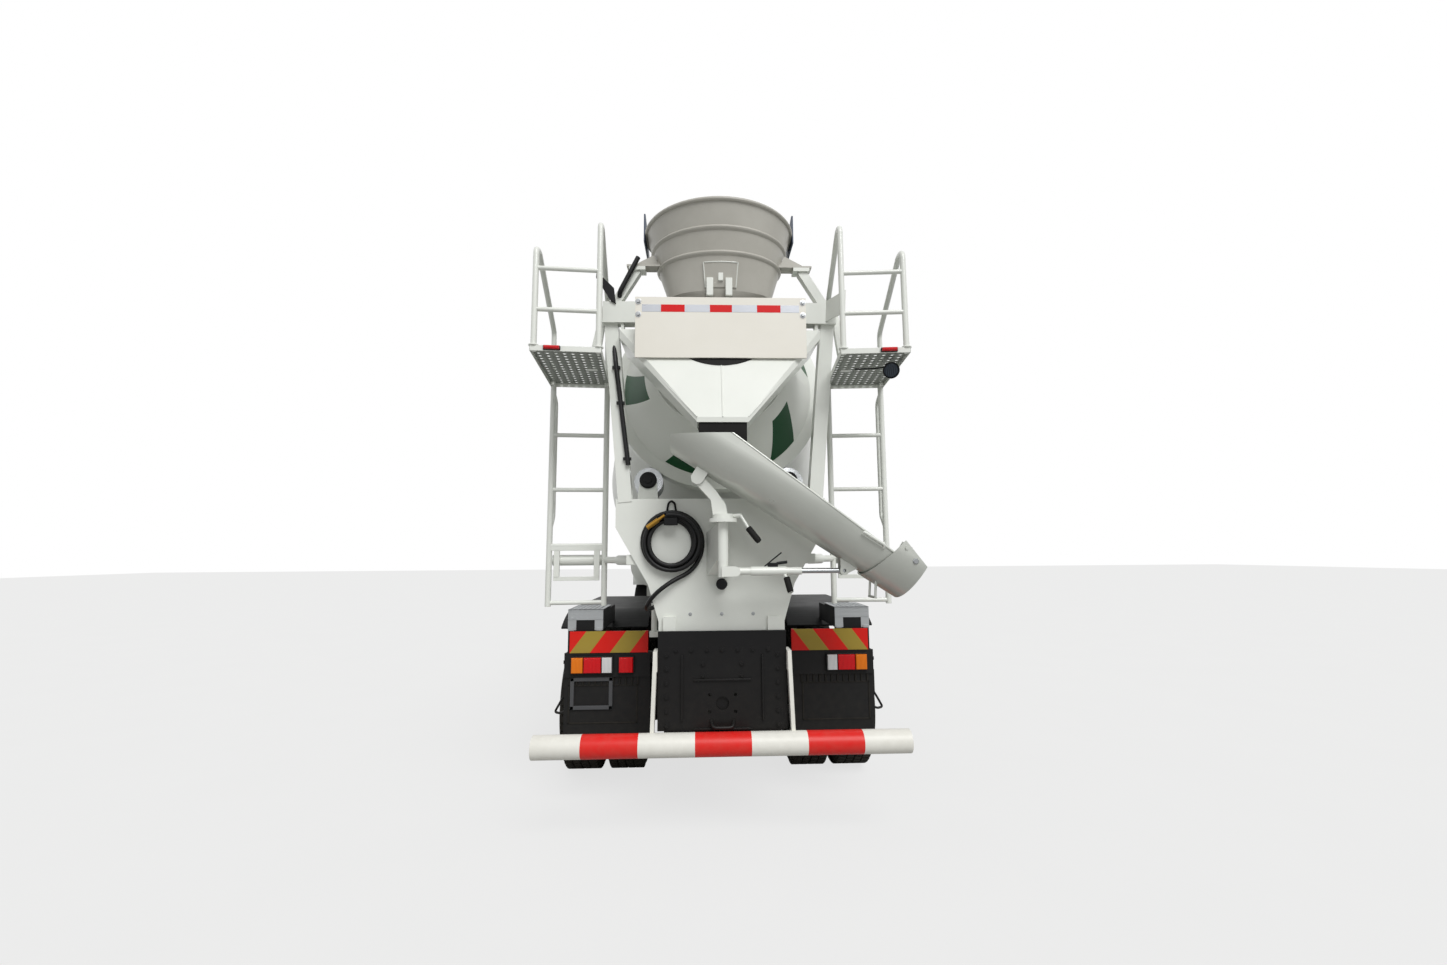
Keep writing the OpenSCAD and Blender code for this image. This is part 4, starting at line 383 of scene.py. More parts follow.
hose_line = smooth_through(TAIL + [coil_point(JOIN)], 4)[:-1] + [coil_point(a) for a in range(JOIN, LAST_TURN + 1, 10)]
hose_line = [at(*p) for p in hose_line]
hose_curve = bpy.data.curves.new("wash_hose", "CURVE")
hose_curve.dimensions = "3D"
hose_curve.bevel_depth = HOSE_D / 2000
hose_curve.bevel_resolution = 3
hose_curve.use_fill_caps = True
spline = hose_curve.splines.new("POLY")
spline.points.add(len(hose_line) - 1)
for point, place in zip(spline.points, hose_line):
    point.co = (*place, 1)
hose_curve.materials.append(HOSE)
wash_hose = bpy.data.objects.new("wash_hose", hose_curve)
scene.collection.objects.link(wash_hose)
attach(wash_hose, "chassis")
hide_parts("hose_coil", "hose_tail")

# %% [markdown]
# ## Floor and light
# The studio is plain: a pale floor, an even white room and one large soft lamp above and behind the camera. The room
# is white where the camera, a mirror or glass looks at it, and dimmer as a lamp, so that white paint keeps its shade.

# %% Floor and light
FLOOR_HALF_M, FLOOR_SPECK_MM, FLOOR_PALE = 60, 700, 0.72
ROOM, LAMP, LAMP_SOFTNESS, LAMP_LEAN, LAMP_TURN = 0.4, 2.35, 35, 44, 20
floor_mesh = bpy.data.meshes.new("floor")
corners = [(x * FLOOR_HALF_M, y * FLOOR_HALF_M, 0) for x, y in ((-1, -1), (1, -1), (1, 1), (-1, 1))]
floor_mesh.from_pydata(corners, [], [(0, 1, 2, 3)])
floor = bpy.data.objects.new("floor", floor_mesh)
scene.collection.objects.link(floor)
floor_finish, tree, place = new_finish("studio_floor")
speck = put(tree, "ShaderNodeTexNoise", {"Vector": place, "Scale": 1000 / FLOOR_SPECK_MM, "Detail": 3.0})
tone = put(tree, "ShaderNodeMix", {0: speck, 6: linear("b9b9b7"), 7: linear("b1b2b0")}, data_type="RGBA")
matt = put(tree, "ShaderNodeBsdfDiffuse", {"Color": tone.outputs[2]})
pale = put(tree, "ShaderNodeEmission", {"Color": (1, 1, 1, 1), "Strength": 1.0})
path = put(tree, "ShaderNodeLightPath")
camera_sees = put(tree, "ShaderNodeMapRange", {0: path.outputs["Is Camera Ray"], 4: FLOOR_PALE})
put(tree, "ShaderNodeOutputMaterial", {0: put(tree, "ShaderNodeMixShader", {0: camera_sees, 1: matt, 2: pale})})
floor_mesh.materials.append(floor_finish)

world = bpy.data.worlds.new("studio")
scene.world = world
world.use_nodes = True
tree = world.node_tree
tree.nodes.clear()
path = put(tree, "ShaderNodeLightPath")
seen = path.outputs["Is Camera Ray"]
for ray in ("Is Glossy Ray", "Is Transmission Ray"):
    seen = put(tree, "ShaderNodeMath", {0: seen, 1: path.outputs[ray]}, operation="MAXIMUM")
room = put(tree, "ShaderNodeBackground", {"Color": (1, 1, 1, 1), "Strength": ROOM})
backdrop = put(tree, "ShaderNodeBackground", {"Color": (1, 1, 1, 1), "Strength": 1.0})
put(tree, "ShaderNodeOutputWorld", {0: put(tree, "ShaderNodeMixShader", {0: seen, 1: room, 2: backdrop})})

sun = bpy.data.objects.new("soft_lamp", bpy.data.lights.new("soft_lamp", "SUN"))
sun.data.energy = LAMP
sun.data.angle = math.radians(LAMP_SOFTNESS)
sun.rotation_euler = (math.radians(LAMP_LEAN), 0, math.radians(LAMP_TURN))
scene.collection.objects.link(sun)
print("lamp:", LAMP, "room:", ROOM)

# %% [markdown]
# ## Mesh helpers
# Most pieces are bars, plates and turned parts. Each helper returns points and faces in millimetres, so that many
# small forms can be gathered into one piece, and one function turns them into a finished object: normals outwards,
# edges broken by a small bevel, curves smooth, riding on its body.


# %% Mesh helpers
SIDES = ((-1, "left"), (1, "right"))


def turns(count):
    """The angles of equal steps round a full turn."""
    return [2 * math.pi * k / count for k in range(count)]


def block(low, high):
    """A block between two corners."""
    (x0, y0, z0), (x1, y1, z1) = low, high
    corners = [Vector(c) for c in ((x0, y0, z0), (x1, y0, z0), (x1, y1, z0), (x0, y1, z0),
                                   (x0, y0, z1), (x1, y0, z1), (x1, y1, z1), (x0, y1, z1))]
    return corners, [(3, 2, 1, 0), (4, 5, 6, 7), (0, 1, 5, 4), (1, 2, 6, 5), (2, 3, 7, 6), (3, 0, 4, 7)]


def skin(rings, capped=True, closed=False):
    """Walls between rings of equal count, with end caps or joined last to first."""
    count = len(rings[0])
    points = [Vector(p) for ring in rings for p in ring]
    faces = []
    for i in range(len(rings) if closed else len(rings) - 1):
        a, b = i * count, (i + 1) % len(rings) * count
        faces += [(a + k, a + (k + 1) % count, b + (k + 1) % count, b + k) for k in range(count)]
    if capped and not closed:
        faces += [tuple(range(count))[::-1], tuple(range((len(rings) - 1) * count, len(rings) * count))]
    return points, faces


def rounded(points, radius, steps=6):
    """A line with each inner corner replaced by a bend of a given radius."""
    points = [Vector(p) for p in points]
    line = [points[0]]
    for before, corner, after in zip(points, points[1:], points[2:]):
        into, out = (corner - before).normalized(), (after - corner).normalized()
        half = into.angle(out) / 2
        if half < 0.01 or not radius:
            line.append(corner)
            continue
        cut = min(radius * math.tan(half), (corner - before).length * 0.49, (after - corner).length * 0.49)
        start, end = corner - into * cut, corner + out * cut
        line += [start.lerp(corner, t).lerp(corner.lerp(end, t), t) for t in (k / steps for k in range(steps + 1))]
    return line + [points[-1]]


def tube(points, radius, bend=0, sides=12):
    """A round bar or pipe along a line, bent at its corners."""
    line = rounded(points, bend)
    rings = []
    side = None
    for i, p in enumerate(line):
        run = (line[min(i + 1, len(line) - 1)] - line[max(i - 1, 0)]).normalized()
        if side is None:
            side = run.orthogonal().normalized()
        side = (side - run * side.dot(run)).normalized()
        other = run.cross(side)
        rings.append([p + radius * (side * math.cos(a) + other * math.sin(a)) for a in turns(sides)])
    return skin(rings)


def turned(profile, base, axis, sides=32):
    """A turned part: (radius, height) pairs about an axis from a base point."""
    axis = Vector(axis).normalized()
    side = axis.orthogonal().normalized()
    other = axis.cross(side)
    rings = [[Vector(base) + axis * h + max(r, 0.05) * (side * math.cos(a) + other * math.sin(a))
              for a in turns(sides)] for r, h in profile]
    return skin(rings)


def plate(outline, thickness):
    """A flat plate: an outline of points, thickened by a vector."""
    outline = [Vector(p) for p in outline]
    return skin([outline, [p + Vector(thickness) for p in outline]])


def picture_frame(x0, x1, z0, z1, y0, y1, bar):
    """Four bars round a rectangle on an upright face."""
    return [block((x0, y0, z0), (x1, y1, z0 + bar)), block((x0, y0, z1 - bar), (x1, y1, z1)),
            block((x0, y0, z0), (x0 + bar, y1, z1)), block((x1 - bar, y0, z0), (x1, y1, z1))]


def mirrored(parts):
    """The same forms on the other side of the truck."""
    return [([Vector((-p.x, p.y, p.z)) for p in points], faces) for points, faces in parts]


def on_side(side, parts):
    """Forms of the right side, for either side."""
    return parts if side > 0 else mirrored(parts)


def both_sides(parts):
    """Forms of the right side, and the same on the left."""
    return parts + mirrored(parts)


def piece(name, parts, finish, bevel_mm=0.0, body="chassis", smooth=35, stands_for=(), welded=False):
    """One object from gathered forms: points and faces in millimetres, or ready meshes in metres."""
    shape = bmesh.new()
    for part in parts:
        if isinstance(part, bpy.types.Mesh):
            shape.from_mesh(part)
            continue
        points, faces = part
        made = [shape.verts.new(at(*p)) for p in points]
        for face in faces:
            shape.faces.new([made[i] for i in face])
    if welded:
        bmesh.ops.remove_doubles(shape, verts=shape.verts, dist=0.00005)
    bmesh.ops.recalc_face_normals(shape, faces=shape.faces)
    mesh = bpy.data.meshes.new(name)
    shape.to_mesh(mesh)
    shape.free()
    for polygon in mesh.polygons:
        polygon.use_smooth = True
        polygon.material_index = 0
    mesh.set_sharp_from_angle(angle=math.radians(smooth))
    mesh.materials.clear()
    mesh.materials.append(finish)
    made = bpy.data.objects.new(name, mesh)
    scene.collection.objects.link(made)
    if bevel_mm:
        edge = made.modifiers.new("broken edges", "BEVEL")
        edge.width, edge.segments = bevel_mm / 1000, 2
        edge.limit_method, edge.angle_limit = "ANGLE", math.radians(40)
    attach(made, body)
    if stands_for:
        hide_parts(*stands_for)
    return made


# %% [markdown]
# ## Repeats with Geometry Nodes
# Tread blocks, wheel nuts, perforations, chequer bars and bolts all repeat a small form. Two trees serve them all: one
# sets a form round a circle, the other sets it on a grid. Each has named inputs for its sizes, ends in Realize
# Instances and Set Material, and is turned into a plain mesh before anything else uses it.


# %% Trees for a ring and a grid
def tree_with(name, inputs):
    """A tree with named inputs and one geometry output."""
    tree = bpy.data.node_groups.new(name, "GeometryNodeTree")
    for label, kind in inputs.items():
        tree.interface.new_socket(label, in_out="INPUT", socket_type=kind)
    tree.interface.new_socket("Geometry", in_out="OUTPUT", socket_type="NodeSocketGeometry")
    return tree, put(tree, "NodeGroupInput").outputs


def end_tree(tree, instances, finish_socket):
    """Ends a tree: the instances as real geometry, in a finish."""
    real = put(tree, "GeometryNodeRealizeInstances", {0: instances})
    painted = put(tree, "GeometryNodeSetMaterial", {"Geometry": real, "Material": finish_socket})
    put(tree, "NodeGroupOutput", {0: painted})


RING_TREE, given = tree_with("ring_of_forms", {
    "Form": "NodeSocketObject", "Count": "NodeSocketInt", "Radius": "NodeSocketFloat",
    "Start": "NodeSocketFloat", "Finish": "NodeSocketMaterial"})
circle = put(RING_TREE, "GeometryNodeMeshCircle", {"Vertices": given["Count"], "Radius": 1.0})
share = put(RING_TREE, "ShaderNodeMath", {0: put(RING_TREE, "GeometryNodeInputIndex"),
                                          1: given["Count"]}, operation="DIVIDE")
angle = put(RING_TREE, "ShaderNodeMath", {0: share, 1: 2 * math.pi, 2: given["Start"]}, operation="MULTIPLY_ADD")
spot = put(RING_TREE, "ShaderNodeCombineXYZ", {
    0: put(RING_TREE, "ShaderNodeMath", {0: angle}, operation="COSINE"),
    1: put(RING_TREE, "ShaderNodeMath", {0: angle}, operation="SINE")})
reach = put(RING_TREE, "ShaderNodeVectorMath", {0: spot, "Scale": given["Radius"]}, operation="SCALE")
placed = put(RING_TREE, "GeometryNodeSetPosition", {"Geometry": circle, "Position": reach})
facing = put(RING_TREE, "FunctionNodeEulerToRotation", {0: put(RING_TREE, "ShaderNodeCombineXYZ", {2: angle})})
form = put(RING_TREE, "GeometryNodeObjectInfo", {"Object": given["Form"]})
ring = put(RING_TREE, "GeometryNodeInstanceOnPoints", {
    "Points": placed, "Instance": form.outputs["Geometry"], "Rotation": facing})
end_tree(RING_TREE, ring, given["Finish"])

GRID_TREE, given = tree_with("grid_of_forms", {
    "Form": "NodeSocketObject", "Columns": "NodeSocketInt", "Rows": "NodeSocketInt",
    "Pitch X": "NodeSocketFloat", "Pitch Y": "NodeSocketFloat", "Finish": "NodeSocketMaterial"})
spans = [put(GRID_TREE, "ShaderNodeMath", {
    0: put(GRID_TREE, "ShaderNodeMath", {0: given[count], 1: 1.0}, operation="SUBTRACT"),
    1: given[step]}, operation="MULTIPLY") for count, step in (("Columns", "Pitch X"), ("Rows", "Pitch Y"))]
grid = put(GRID_TREE, "GeometryNodeMeshGrid", {"Size X": spans[0], "Size Y": spans[1],
                                               "Vertices X": given["Columns"], "Vertices Y": given["Rows"]})
form = put(GRID_TREE, "GeometryNodeObjectInfo", {"Object": given["Form"]})
end_tree(GRID_TREE, put(GRID_TREE, "GeometryNodeInstanceOnPoints", {
    "Points": grid, "Instance": form.outputs["Geometry"]}), given["Finish"])


def small_form(parts):
    """A small form to repeat, in millimetres about its own middle."""
    mesh = bpy.data.meshes.new("form")
    points, faces = [], []
    for part_points, part_faces in parts:
        faces += [tuple(i + len(points) for i in f) for f in part_faces]
        points += [p / 1000 for p in part_points]
    mesh.from_pydata(points, [], faces)
    return bpy.data.objects.new("form", mesh)


def repeated(tree, parts, finish, matrix, **sizes):
    """The tree's result for a small form, as a plain mesh in place; sizes in millimetres, except counts."""
    form = small_form(parts)
    carrier = bpy.data.objects.new("carrier", bpy.data.meshes.new("carrier"))
    for made in (carrier, form):
        scene.collection.objects.link(made)
    modifier = carrier.modifiers.new("repeat", "NODES")
    modifier.node_group = tree
    values = {"Form": form, "Finish": finish, **sizes}
    for socket in tree.interface.items_tree:
        if socket.in_out == "INPUT" and socket.name in values:
            value = values[socket.name]
            modifier[socket.identifier] = value / 1000 if isinstance(value, float) else value
    mesh = bpy.data.meshes.new_from_object(carrier.evaluated_get(bpy.context.evaluated_depsgraph_get()))
    mesh.transform(matrix)
    for made in (carrier, form):
        bpy.data.objects.remove(made)
    return mesh


STAND_UP = Matrix.Rotation(math.pi / 2, 4, "X")


def gridded(parts, finish, matrix, columns, rows, pitch_x, pitch_y):
    """A small form on a grid, with its pitches in millimetres."""
    return repeated(GRID_TREE, parts, finish, matrix, Columns=columns, Rows=rows,
                    **{"Pitch X": float(pitch_x), "Pitch Y": float(pitch_y)})


print("trees:", [g.name for g in bpy.data.node_groups])

# %% [markdown]
# ## Tyres
# A truck tyre is a turned carcass with bulging walls, and rows of rubber blocks round it. The carcass is a turned
# profile; the blocks are rings of one small block each, with every second row set half a step on. A twin wheel has
# two tyres but is one piece, because both turn on one hub.

# %% Tyres and wheel nuts
AXLE_Z = 530
TYRE_R, RIM_R = 530, 286
TREAD_BLOCKS, TREAD_TALL, TREAD_BASE_R, TREAD_GAP = 54, 16.5, 512.0, 13
CARCASS = [(RIM_R + 0.5, -111), (RIM_R + 14, -128), (RIM_R + 34, -138), (RIM_R + 70, -141), (408, -144.5), (440, -144),
           (446, -146), (454, -146), (460, -143), (492, -138), (508, -128), (514, -112), (515, 0)]
CARCASS += [(r, -h) for r, h in CARCASS[-2::-1]]
CARCASS += [(RIM_R + 0.5, 60), (RIM_R + 0.5, -60)]


def tread_block(wide, long, tall, slant):
    """One tread block: outwards is x, round the tyre is y, across it is z."""
    low = [(0, -long / 2 - slant, -wide / 2), (0, long / 2 - slant, -wide / 2),
           (0, long / 2 + slant, wide / 2), (0, -long / 2 + slant, wide / 2)]
    top = [(tall, y * 0.86, z * 0.93) for _, y, z in low]
    return skin([[Vector(p) for p in low], [Vector(p) for p in top]])


TREAD_ROWS = []
for offset, wide, slant, start in ((-94, 62, 5, 0.0), (-31, 52, -6, 0.5), (31, 52, 6, 0.0), (94, 62, -5, 0.5)):
    spin = Matrix.Translation((offset / 1000, 0, 0)) @ Matrix.Rotation(math.pi / 2, 4, "Y")
    step = 2 * math.pi / TREAD_BLOCKS
    long = TYRE_R * step - TREAD_GAP
    TREAD_ROWS.append(repeated(RING_TREE, [tread_block(wide, long, TREAD_TALL, slant)], RUBBER, spin,
                               Count=TREAD_BLOCKS, Radius=TREAD_BASE_R, Start=start * step * 1000))


def tyre_parts(x, s):
    """One tyre across an axle at x, s: its carcass, and its tread rows as ready meshes."""
    rings = [[Vector((x + h, s + r * math.cos(a), AXLE_Z + r * math.sin(a))) for a in turns(72)] for r, h in CARCASS]
    rows = [row.copy() for row in TREAD_ROWS]
    for row in rows:
        row.transform(Matrix.Translation(at(x, s, AXLE_Z)))
    return [skin(rings, closed=True)] + rows


NUT = [turned([(0, 0), (16.5, 0), (16.5, 24), (13, 28), (11, 28), (11, 40), (0, 41)], (0, 0, 0), (0, 0, 1), 6)]
CAP = [(0, -4), (84, -4), (84, 6), (78, 14), (46, 18), (0, 18)]
WHEELS = [("front", 6600, 1010, (0,)), ("mid", 2770, 885, (-170, 170)), ("last", 1420, 885, (-170, 170))]
for place, s, hub, offsets in WHEELS:
    for side, word in SIDES:
        body = f"{place}_{word}_wheel" + ("" if place == "front" else "s")
        parts = [p for o in offsets for p in tyre_parts(side * (hub + o), s)]
        piece(f"tyre_tread_{place}_{word}", parts, RUBBER, body=body, smooth=40,
              stands_for=[f"tyre{'' if place == 'front' else 's'}_{place}_{word}"])
        face = side * (hub + (84 if place == "front" else 14))
        spin = Matrix.Translation(at(face, s, AXLE_Z)) @ Matrix.Rotation(side * math.pi / 2, 4, "Y")
        nuts = repeated(RING_TREE, NUT, STEEL, spin, Count=10, Radius=145.0, Start=300.0)
        end = side * (hub + (170 if place == "front" else 215))
        piece(f"wheel_nuts_{place}_{word}", [nuts, turned(CAP, (end, s, AXLE_Z), (side, 0, 0), 40)], STEEL, body=body,
              smooth=30)
print("tyres and nuts on", 2 * len(WHEELS), "wheel places")

# %% [markdown]
# ## Ladders and platforms
# Two welded tube ladders climb to perforated platforms. The tubes are swept along bent lines, which gives the soft
# bends of real handrails. The platform is a grid of square cells, each with a punched round hole, so that light
# shows through it from below as in the photograph.


# %% Ladders
TOE = math.radians(5)
LADDER_X, LADDER_S, ARM_Z = 1000, 500, 1676
PLATFORM_Z, PLATFORM_LEN, LADDER_W = 2950, 780, 420


def on_ladder(x, y, z):
    """A point of the right ladder's own turned frame."""
    c, s = math.cos(TOE), math.sin(TOE)
    return Vector((LADDER_X + x * c + y * s, LADDER_S - x * s + y * c, z))


def ladder_tube(points, radius, bend=0):
    return tube([on_ladder(*p) for p in points], radius, bend)


def ladder_block(low, high):
    points, faces = block(low, high)
    return [on_ladder(*p) for p in points], faces


def punched_cell(pitch_x, pitch_y, hole, thick, sides=12):
    """A square cell of plate with a round hole, with its rim pressed up a little."""
    circle = [Vector((math.cos(a + math.pi / sides), math.sin(a + math.pi / sides), 0)) for a in turns(sides)]
    square = [Vector((p.x * pitch_x, p.y * pitch_y, 0)) / 2 / max(abs(p.x), abs(p.y)) for p in circle]
    rings = [square] + [[p * reach + Vector((0, 0, z)) for p in circle] for reach, z in (
        (hole + 5, 0), (hole, 3), (hole, 3 - thick), (hole + 5, -thick))]
    return skin(rings + [[p - Vector((0, 0, thick)) for p in square]], capped=False)


RAIL_X = 190
LOWEST_RUNG_Z, RUNG_STEP = 1385, 393
near, far = -PLATFORM_LEN + 20, -40
ladder_parts = []
for x in (-RAIL_X, RAIL_X):
    ladder_parts.append(ladder_tube([(x, 0, 1360), (x, 0, PLATFORM_Z - 6)], 20))
    height = 800 if x < 0 else 620
    ladder_parts.append(ladder_tube([
        (x, near, PLATFORM_Z - 30), (x, near, PLATFORM_Z + height), (x, near + 90, PLATFORM_Z + height + 10),
        (x, far, PLATFORM_Z + height - 260), (x, far, PLATFORM_Z - 30)], 18, 70))
for i in range(4):
    z = LOWEST_RUNG_Z + RUNG_STEP * i
    ladder_parts.append(ladder_tube([(-RAIL_X, 0, z), (RAIL_X, 0, z)], 15))
for z in (PLATFORM_Z + 230, PLATFORM_Z + 490):
    ladder_parts.append(ladder_tube([(-RAIL_X, near, z), (RAIL_X, near, z)], 14))
ladder_parts.append(ladder_tube([(RAIL_X, 0, 1885), (RAIL_X, 130, 1985), (RAIL_X, 130, 2830), (RAIL_X, 0, 2880)],
                                15, 60))
half = LADDER_W / 2
for low, high in (((-half, near - 20, PLATFORM_Z - 34), (half, near - 16, PLATFORM_Z)),
                  ((-half, -4, PLATFORM_Z - 34), (half, 0, PLATFORM_Z)),
                  ((-half, near - 20, PLATFORM_Z - 34), (-half + 4, 0, PLATFORM_Z)),
                  ((half - 4, near - 20, PLATFORM_Z - 34), (half, 0, PLATFORM_Z)),
                  ((-186, -14, 1742), (186, 14, 1772)), ((-156, -14, 1555), (-118, 14, 1748)),
                  ((118, -14, 1555), (156, 14, 1748)), ((-156, -14, 1535), (156, 14, 1563))):
    ladder_parts.append(ladder_block(low, high))
ladder_parts += [
    tube([on_ladder(172, 55, ARM_Z), on_ladder(-172, 55, ARM_Z)], 38, sides=20),
    tube([on_ladder(-160, 55, ARM_Z), (600, 262, ARM_Z)], 23, sides=16),
    tube([(690, 367, ARM_Z), (590, 250, ARM_Z)], 33, sides=16), block((520, 136, 1648), (610, 286, 1712)),
    plate([(780, 140, 3378), (800, 140, 3378), (890, 140, 2940), (820, 140, 2940), (780, 140, 3218)], (0, 40, 0))]
for x in (-RAIL_X, RAIL_X):
    for y in (near, far):
        foot = [(0, 0), (30, 0), (30, 8), (22, 12), (0, 12)]
        ladder_parts.append(turned(foot, on_ladder(x, y, PLATFORM_Z), (0, 0, 1), 20))
CELLS_X, CELLS_Y = 8, 15
for side, word in SIDES[::-1]:
    piece(f"ladder_tubes_{word}", on_side(side, ladder_parts), WHITE, bevel_mm=1.5, smooth=40,
          stands_for=[f"ladder_{word}"])
    pitch_x, pitch_y = (LADDER_W - 8) / CELLS_X, (PLATFORM_LEN - 8) / CELLS_Y
    spot = Matrix.Translation(at(*on_ladder(0, -PLATFORM_LEN / 2, PLATFORM_Z - 5)))
    spot = spot @ Matrix.Rotation(-TOE, 4, "Z")
    if side == -1:
        spot = Matrix.Diagonal((-1, 1, 1, 1)) @ spot
    holes = gridded([punched_cell(pitch_x, pitch_y, 12, 3)], ZINC, spot, CELLS_X, CELLS_Y, pitch_x, pitch_y)
    if side == -1:
        holes.flip_normals()
    piece(f"platform_plate_{word}", [holes], ZINC, smooth=50, welded=True)
print("platform holes:", 2 * CELLS_X * CELLS_Y)

# %% [markdown]
# ## Feed hopper
# The funnel on top is rolled from sheet: round at the rim, oval at the throat, with two pressed beads and a rolled
# edge. A skin over rings follows it exactly: each ring is an ellipse between throat and rim, pushed out where a bead
# runs, and the same rings a sheet's thickness further in close the wall.


# %% Feed hopper
SHEET = 6
THROAT, RIM = (100, 3400, 345, 175), (300, 3945, 512, 512)


def funnel_ring(share, out=0.0, sides=64):
    """An ellipse between throat (0) and rim (1), pushed out by some millimetres."""
    s, z, wide, deep = (a + (b - a) * share for a, b in zip(THROAT, RIM))
    return [Vector(((wide + out) * math.cos(a), s + (deep + out) * math.sin(a), z)) for a in turns(sides)]


shares = {0.0: 0, 0.2: 0, 0.36: 0, 0.5: 0, 0.6: 0, 0.8: 0, 0.93: 0, 1.0: 0}
for middle in (0.416, 0.692):
    for step, out in ((-0.03, 0), (-0.018, 8), (-0.006, 12), (0.006, 12), (0.018, 8), (0.03, 0)):
        shares[middle + step] = out
shell = [funnel_ring(k, shares[k]) for k in sorted(shares)]
shell += [funnel_ring(k, shares[k] - SHEET) for k in sorted(shares, reverse=True)]
rim_edge = funnel_ring(1.0, 2)
hopper_parts = [skin(shell, closed=True), tube(rim_edge + rim_edge[:2], 13, sides=10)]
neck = [(3400, 345, 175, 100), (3340, 270, 165, 112), (3290, 200, 150, 135), (3262, 150, 135, 150)]
neck_rings = [[Vector(((w - cut) * math.cos(a), s + (d - cut) * math.sin(a), z)) for a in turns(48)]
              for cut, rows in ((0, neck), (SHEET, neck[::-1])) for z, w, d, s in rows]
spout_run = (Vector((0, 640, 3060)) - Vector((0, 150, 3300))).normalized()
spout = [(170, 0), (170, 545), (164, 545), (164, 0)]
side, lift = Vector((1, 0, 0)), spout_run.cross(Vector((1, 0, 0)))
spout_rings = [[Vector((0, 150, 3300)) + spout_run * h + r * (side * math.cos(a) + lift * math.sin(a))
                for a in turns(40)] for r, h in spout]
hopper_parts += [skin(neck_rings, closed=True), skin(spout_rings, closed=True)]
hopper_parts += both_sides([
    block((400, 85, 3640), (625, 175, 3652)), block((400, 96, 3650), (412, 164, 3702)),
    plate([(405, 124, 3650), (610, 124, 3650), (445, 124, 3740)], (0, 10, 0))])
# The funnel's darker grey-beige finish is painted shade.
piece("feed_hopper_shell", hopper_parts, HOPPER_PAINTED_SHADE, smooth=30, stands_for=["feed_hopper"])
# The splash plates' dark slate-blue is painted shade.
splash = [plate([(516, 210, 3885), (516, 560, 3885), (516, 560, 3960), (516, 330, 4075), (516, 236, 4100),
                 (516, 210, 4090)], (10, 0, 0))]
piece("splash_plates", both_sides(splash), SLATE_PAINTED_SHADE, 2)


# The hatch is a curved patch a few millimetres proud of the funnel's rear, with a bead, a latch and a handle.
def hatch_row(share, out):
    """The part of a funnel ring that the hatch covers."""
    return funnel_ring(share, out, 180)[127:144]


rows = (0.03, 0.12, 0.22, 0.31)
patch = [hatch_row(share, 1) for share in rows[::-1]] + [hatch_row(share, 7) for share in rows]
points, faces = skin(patch, capped=False, closed=True)
width = len(patch[0])
faces = [f for f in faces if abs((f[0] % width) - (f[1] % width)) == 1]
faces += [tuple(i * width + end for i in (range(len(patch)) if end else range(len(patch) - 1, -1, -1)))
          for end in (0, width - 1)]
piece("feed_hopper_hatch", [(points, faces)], HOPPER_PAINTED_SHADE, smooth=30)
bead = [hatch_row(k, 7)[0] for k in (0.03, 0.17)] + hatch_row(0.31, 7) + [hatch_row(k, 7)[-1] for k in (0.17, 0.03)]
piece("hatch_bead", [tube(bead, 4, sides=8)], WHITE)
piece("hatch_latch", [block((-42, -92, 3440), (42, -70, 3492)), block((-16, -108, 3452), (16, -88, 3520)),
                      tube([(-60, -84, 3466), (60, -84, 3466)], 7)], WHITE, 3)
print("feed hopper rings:", len(shell))

# %% [markdown]
# ## Lamps
# Each tail lamp is a black moulded box with three ribbed acrylic lenses: amber outside, red, and a clear one inside.
# A single red fog lamp stands beside the left one. Red marker lamps sit on the platforms' rear edges.


# %% Lamps
def lens(x0, x1, z0, z1, y, depth=20):
    """A lens with a drafted edge: a smaller face stands proud of its base."""
    base = [Vector(p) for p in ((x0, y, z0), (x1, y, z0), (x1, y, z1), (x0, y, z1))]
    middle = sum(base, Vector()) / 4
    rings = [base]
    for out, inset in ((depth * 0.7, 1.5), (depth * 0.95, 4), (depth, 9)):
        rings.append([Vector((p.x + math.copysign(inset, middle.x - p.x), y - out,
                              p.z + math.copysign(inset, middle.z - p.z))) for p in base])
    return skin(rings)


TAIL_LENS, FRONT_LENS = (908, 1012, 496, 16), (642, 838, -7930, 24)
housings = both_sides([
    block((738, 494, 900), (1028, 520, 1020)), block((752, 7906, 632), (1158, 7934, 848)),
    ladder_block((30, -PLATFORM_LEN - 16, PLATFORM_Z - 30), (130, -PLATFORM_LEN - 0.5, PLATFORM_Z - 4))])
housings.append(block((-702, 494, 902), (-594, 520, 1018)))
lenses = {"amber": [lens(942, 1022, *TAIL_LENS)], "red": [lens(818, 938, *TAIL_LENS)],
          "clear": [lens(744, 814, *TAIL_LENS)]}
for colour, x0, x1 in (("clear", 764, 950), ("clear", 960, 1080), ("amber", 1090, 1148)):
    points, faces = lens(x0, x1, *FRONT_LENS)
    lenses[colour].append(([Vector((p.x, -p.y, p.z)) for p in points], faces))
points, faces = lens(34, 126, PLATFORM_Z - 28, PLATFORM_Z - 6, -PLATFORM_LEN - 15, 18)
lenses["red"].append(([on_ladder(*p) for p in points], faces))
lenses = {colour: both_sides(parts) for colour, parts in lenses.items()}
lenses["red"].append(lens(-697, -599, *TAIL_LENS))
piece("lamp_housings", housings, PLASTIC, 3, stands_for=["lamps"])
for colour, finish in (("amber", LENS_AMBER), ("red", LENS_RED), ("clear", LENS_CLEAR)):
    piece(f"lamp_lenses_{colour}", lenses[colour], finish, 1.0, smooth=25)
print("lenses:", {k: len(v) for k, v in lenses.items()})

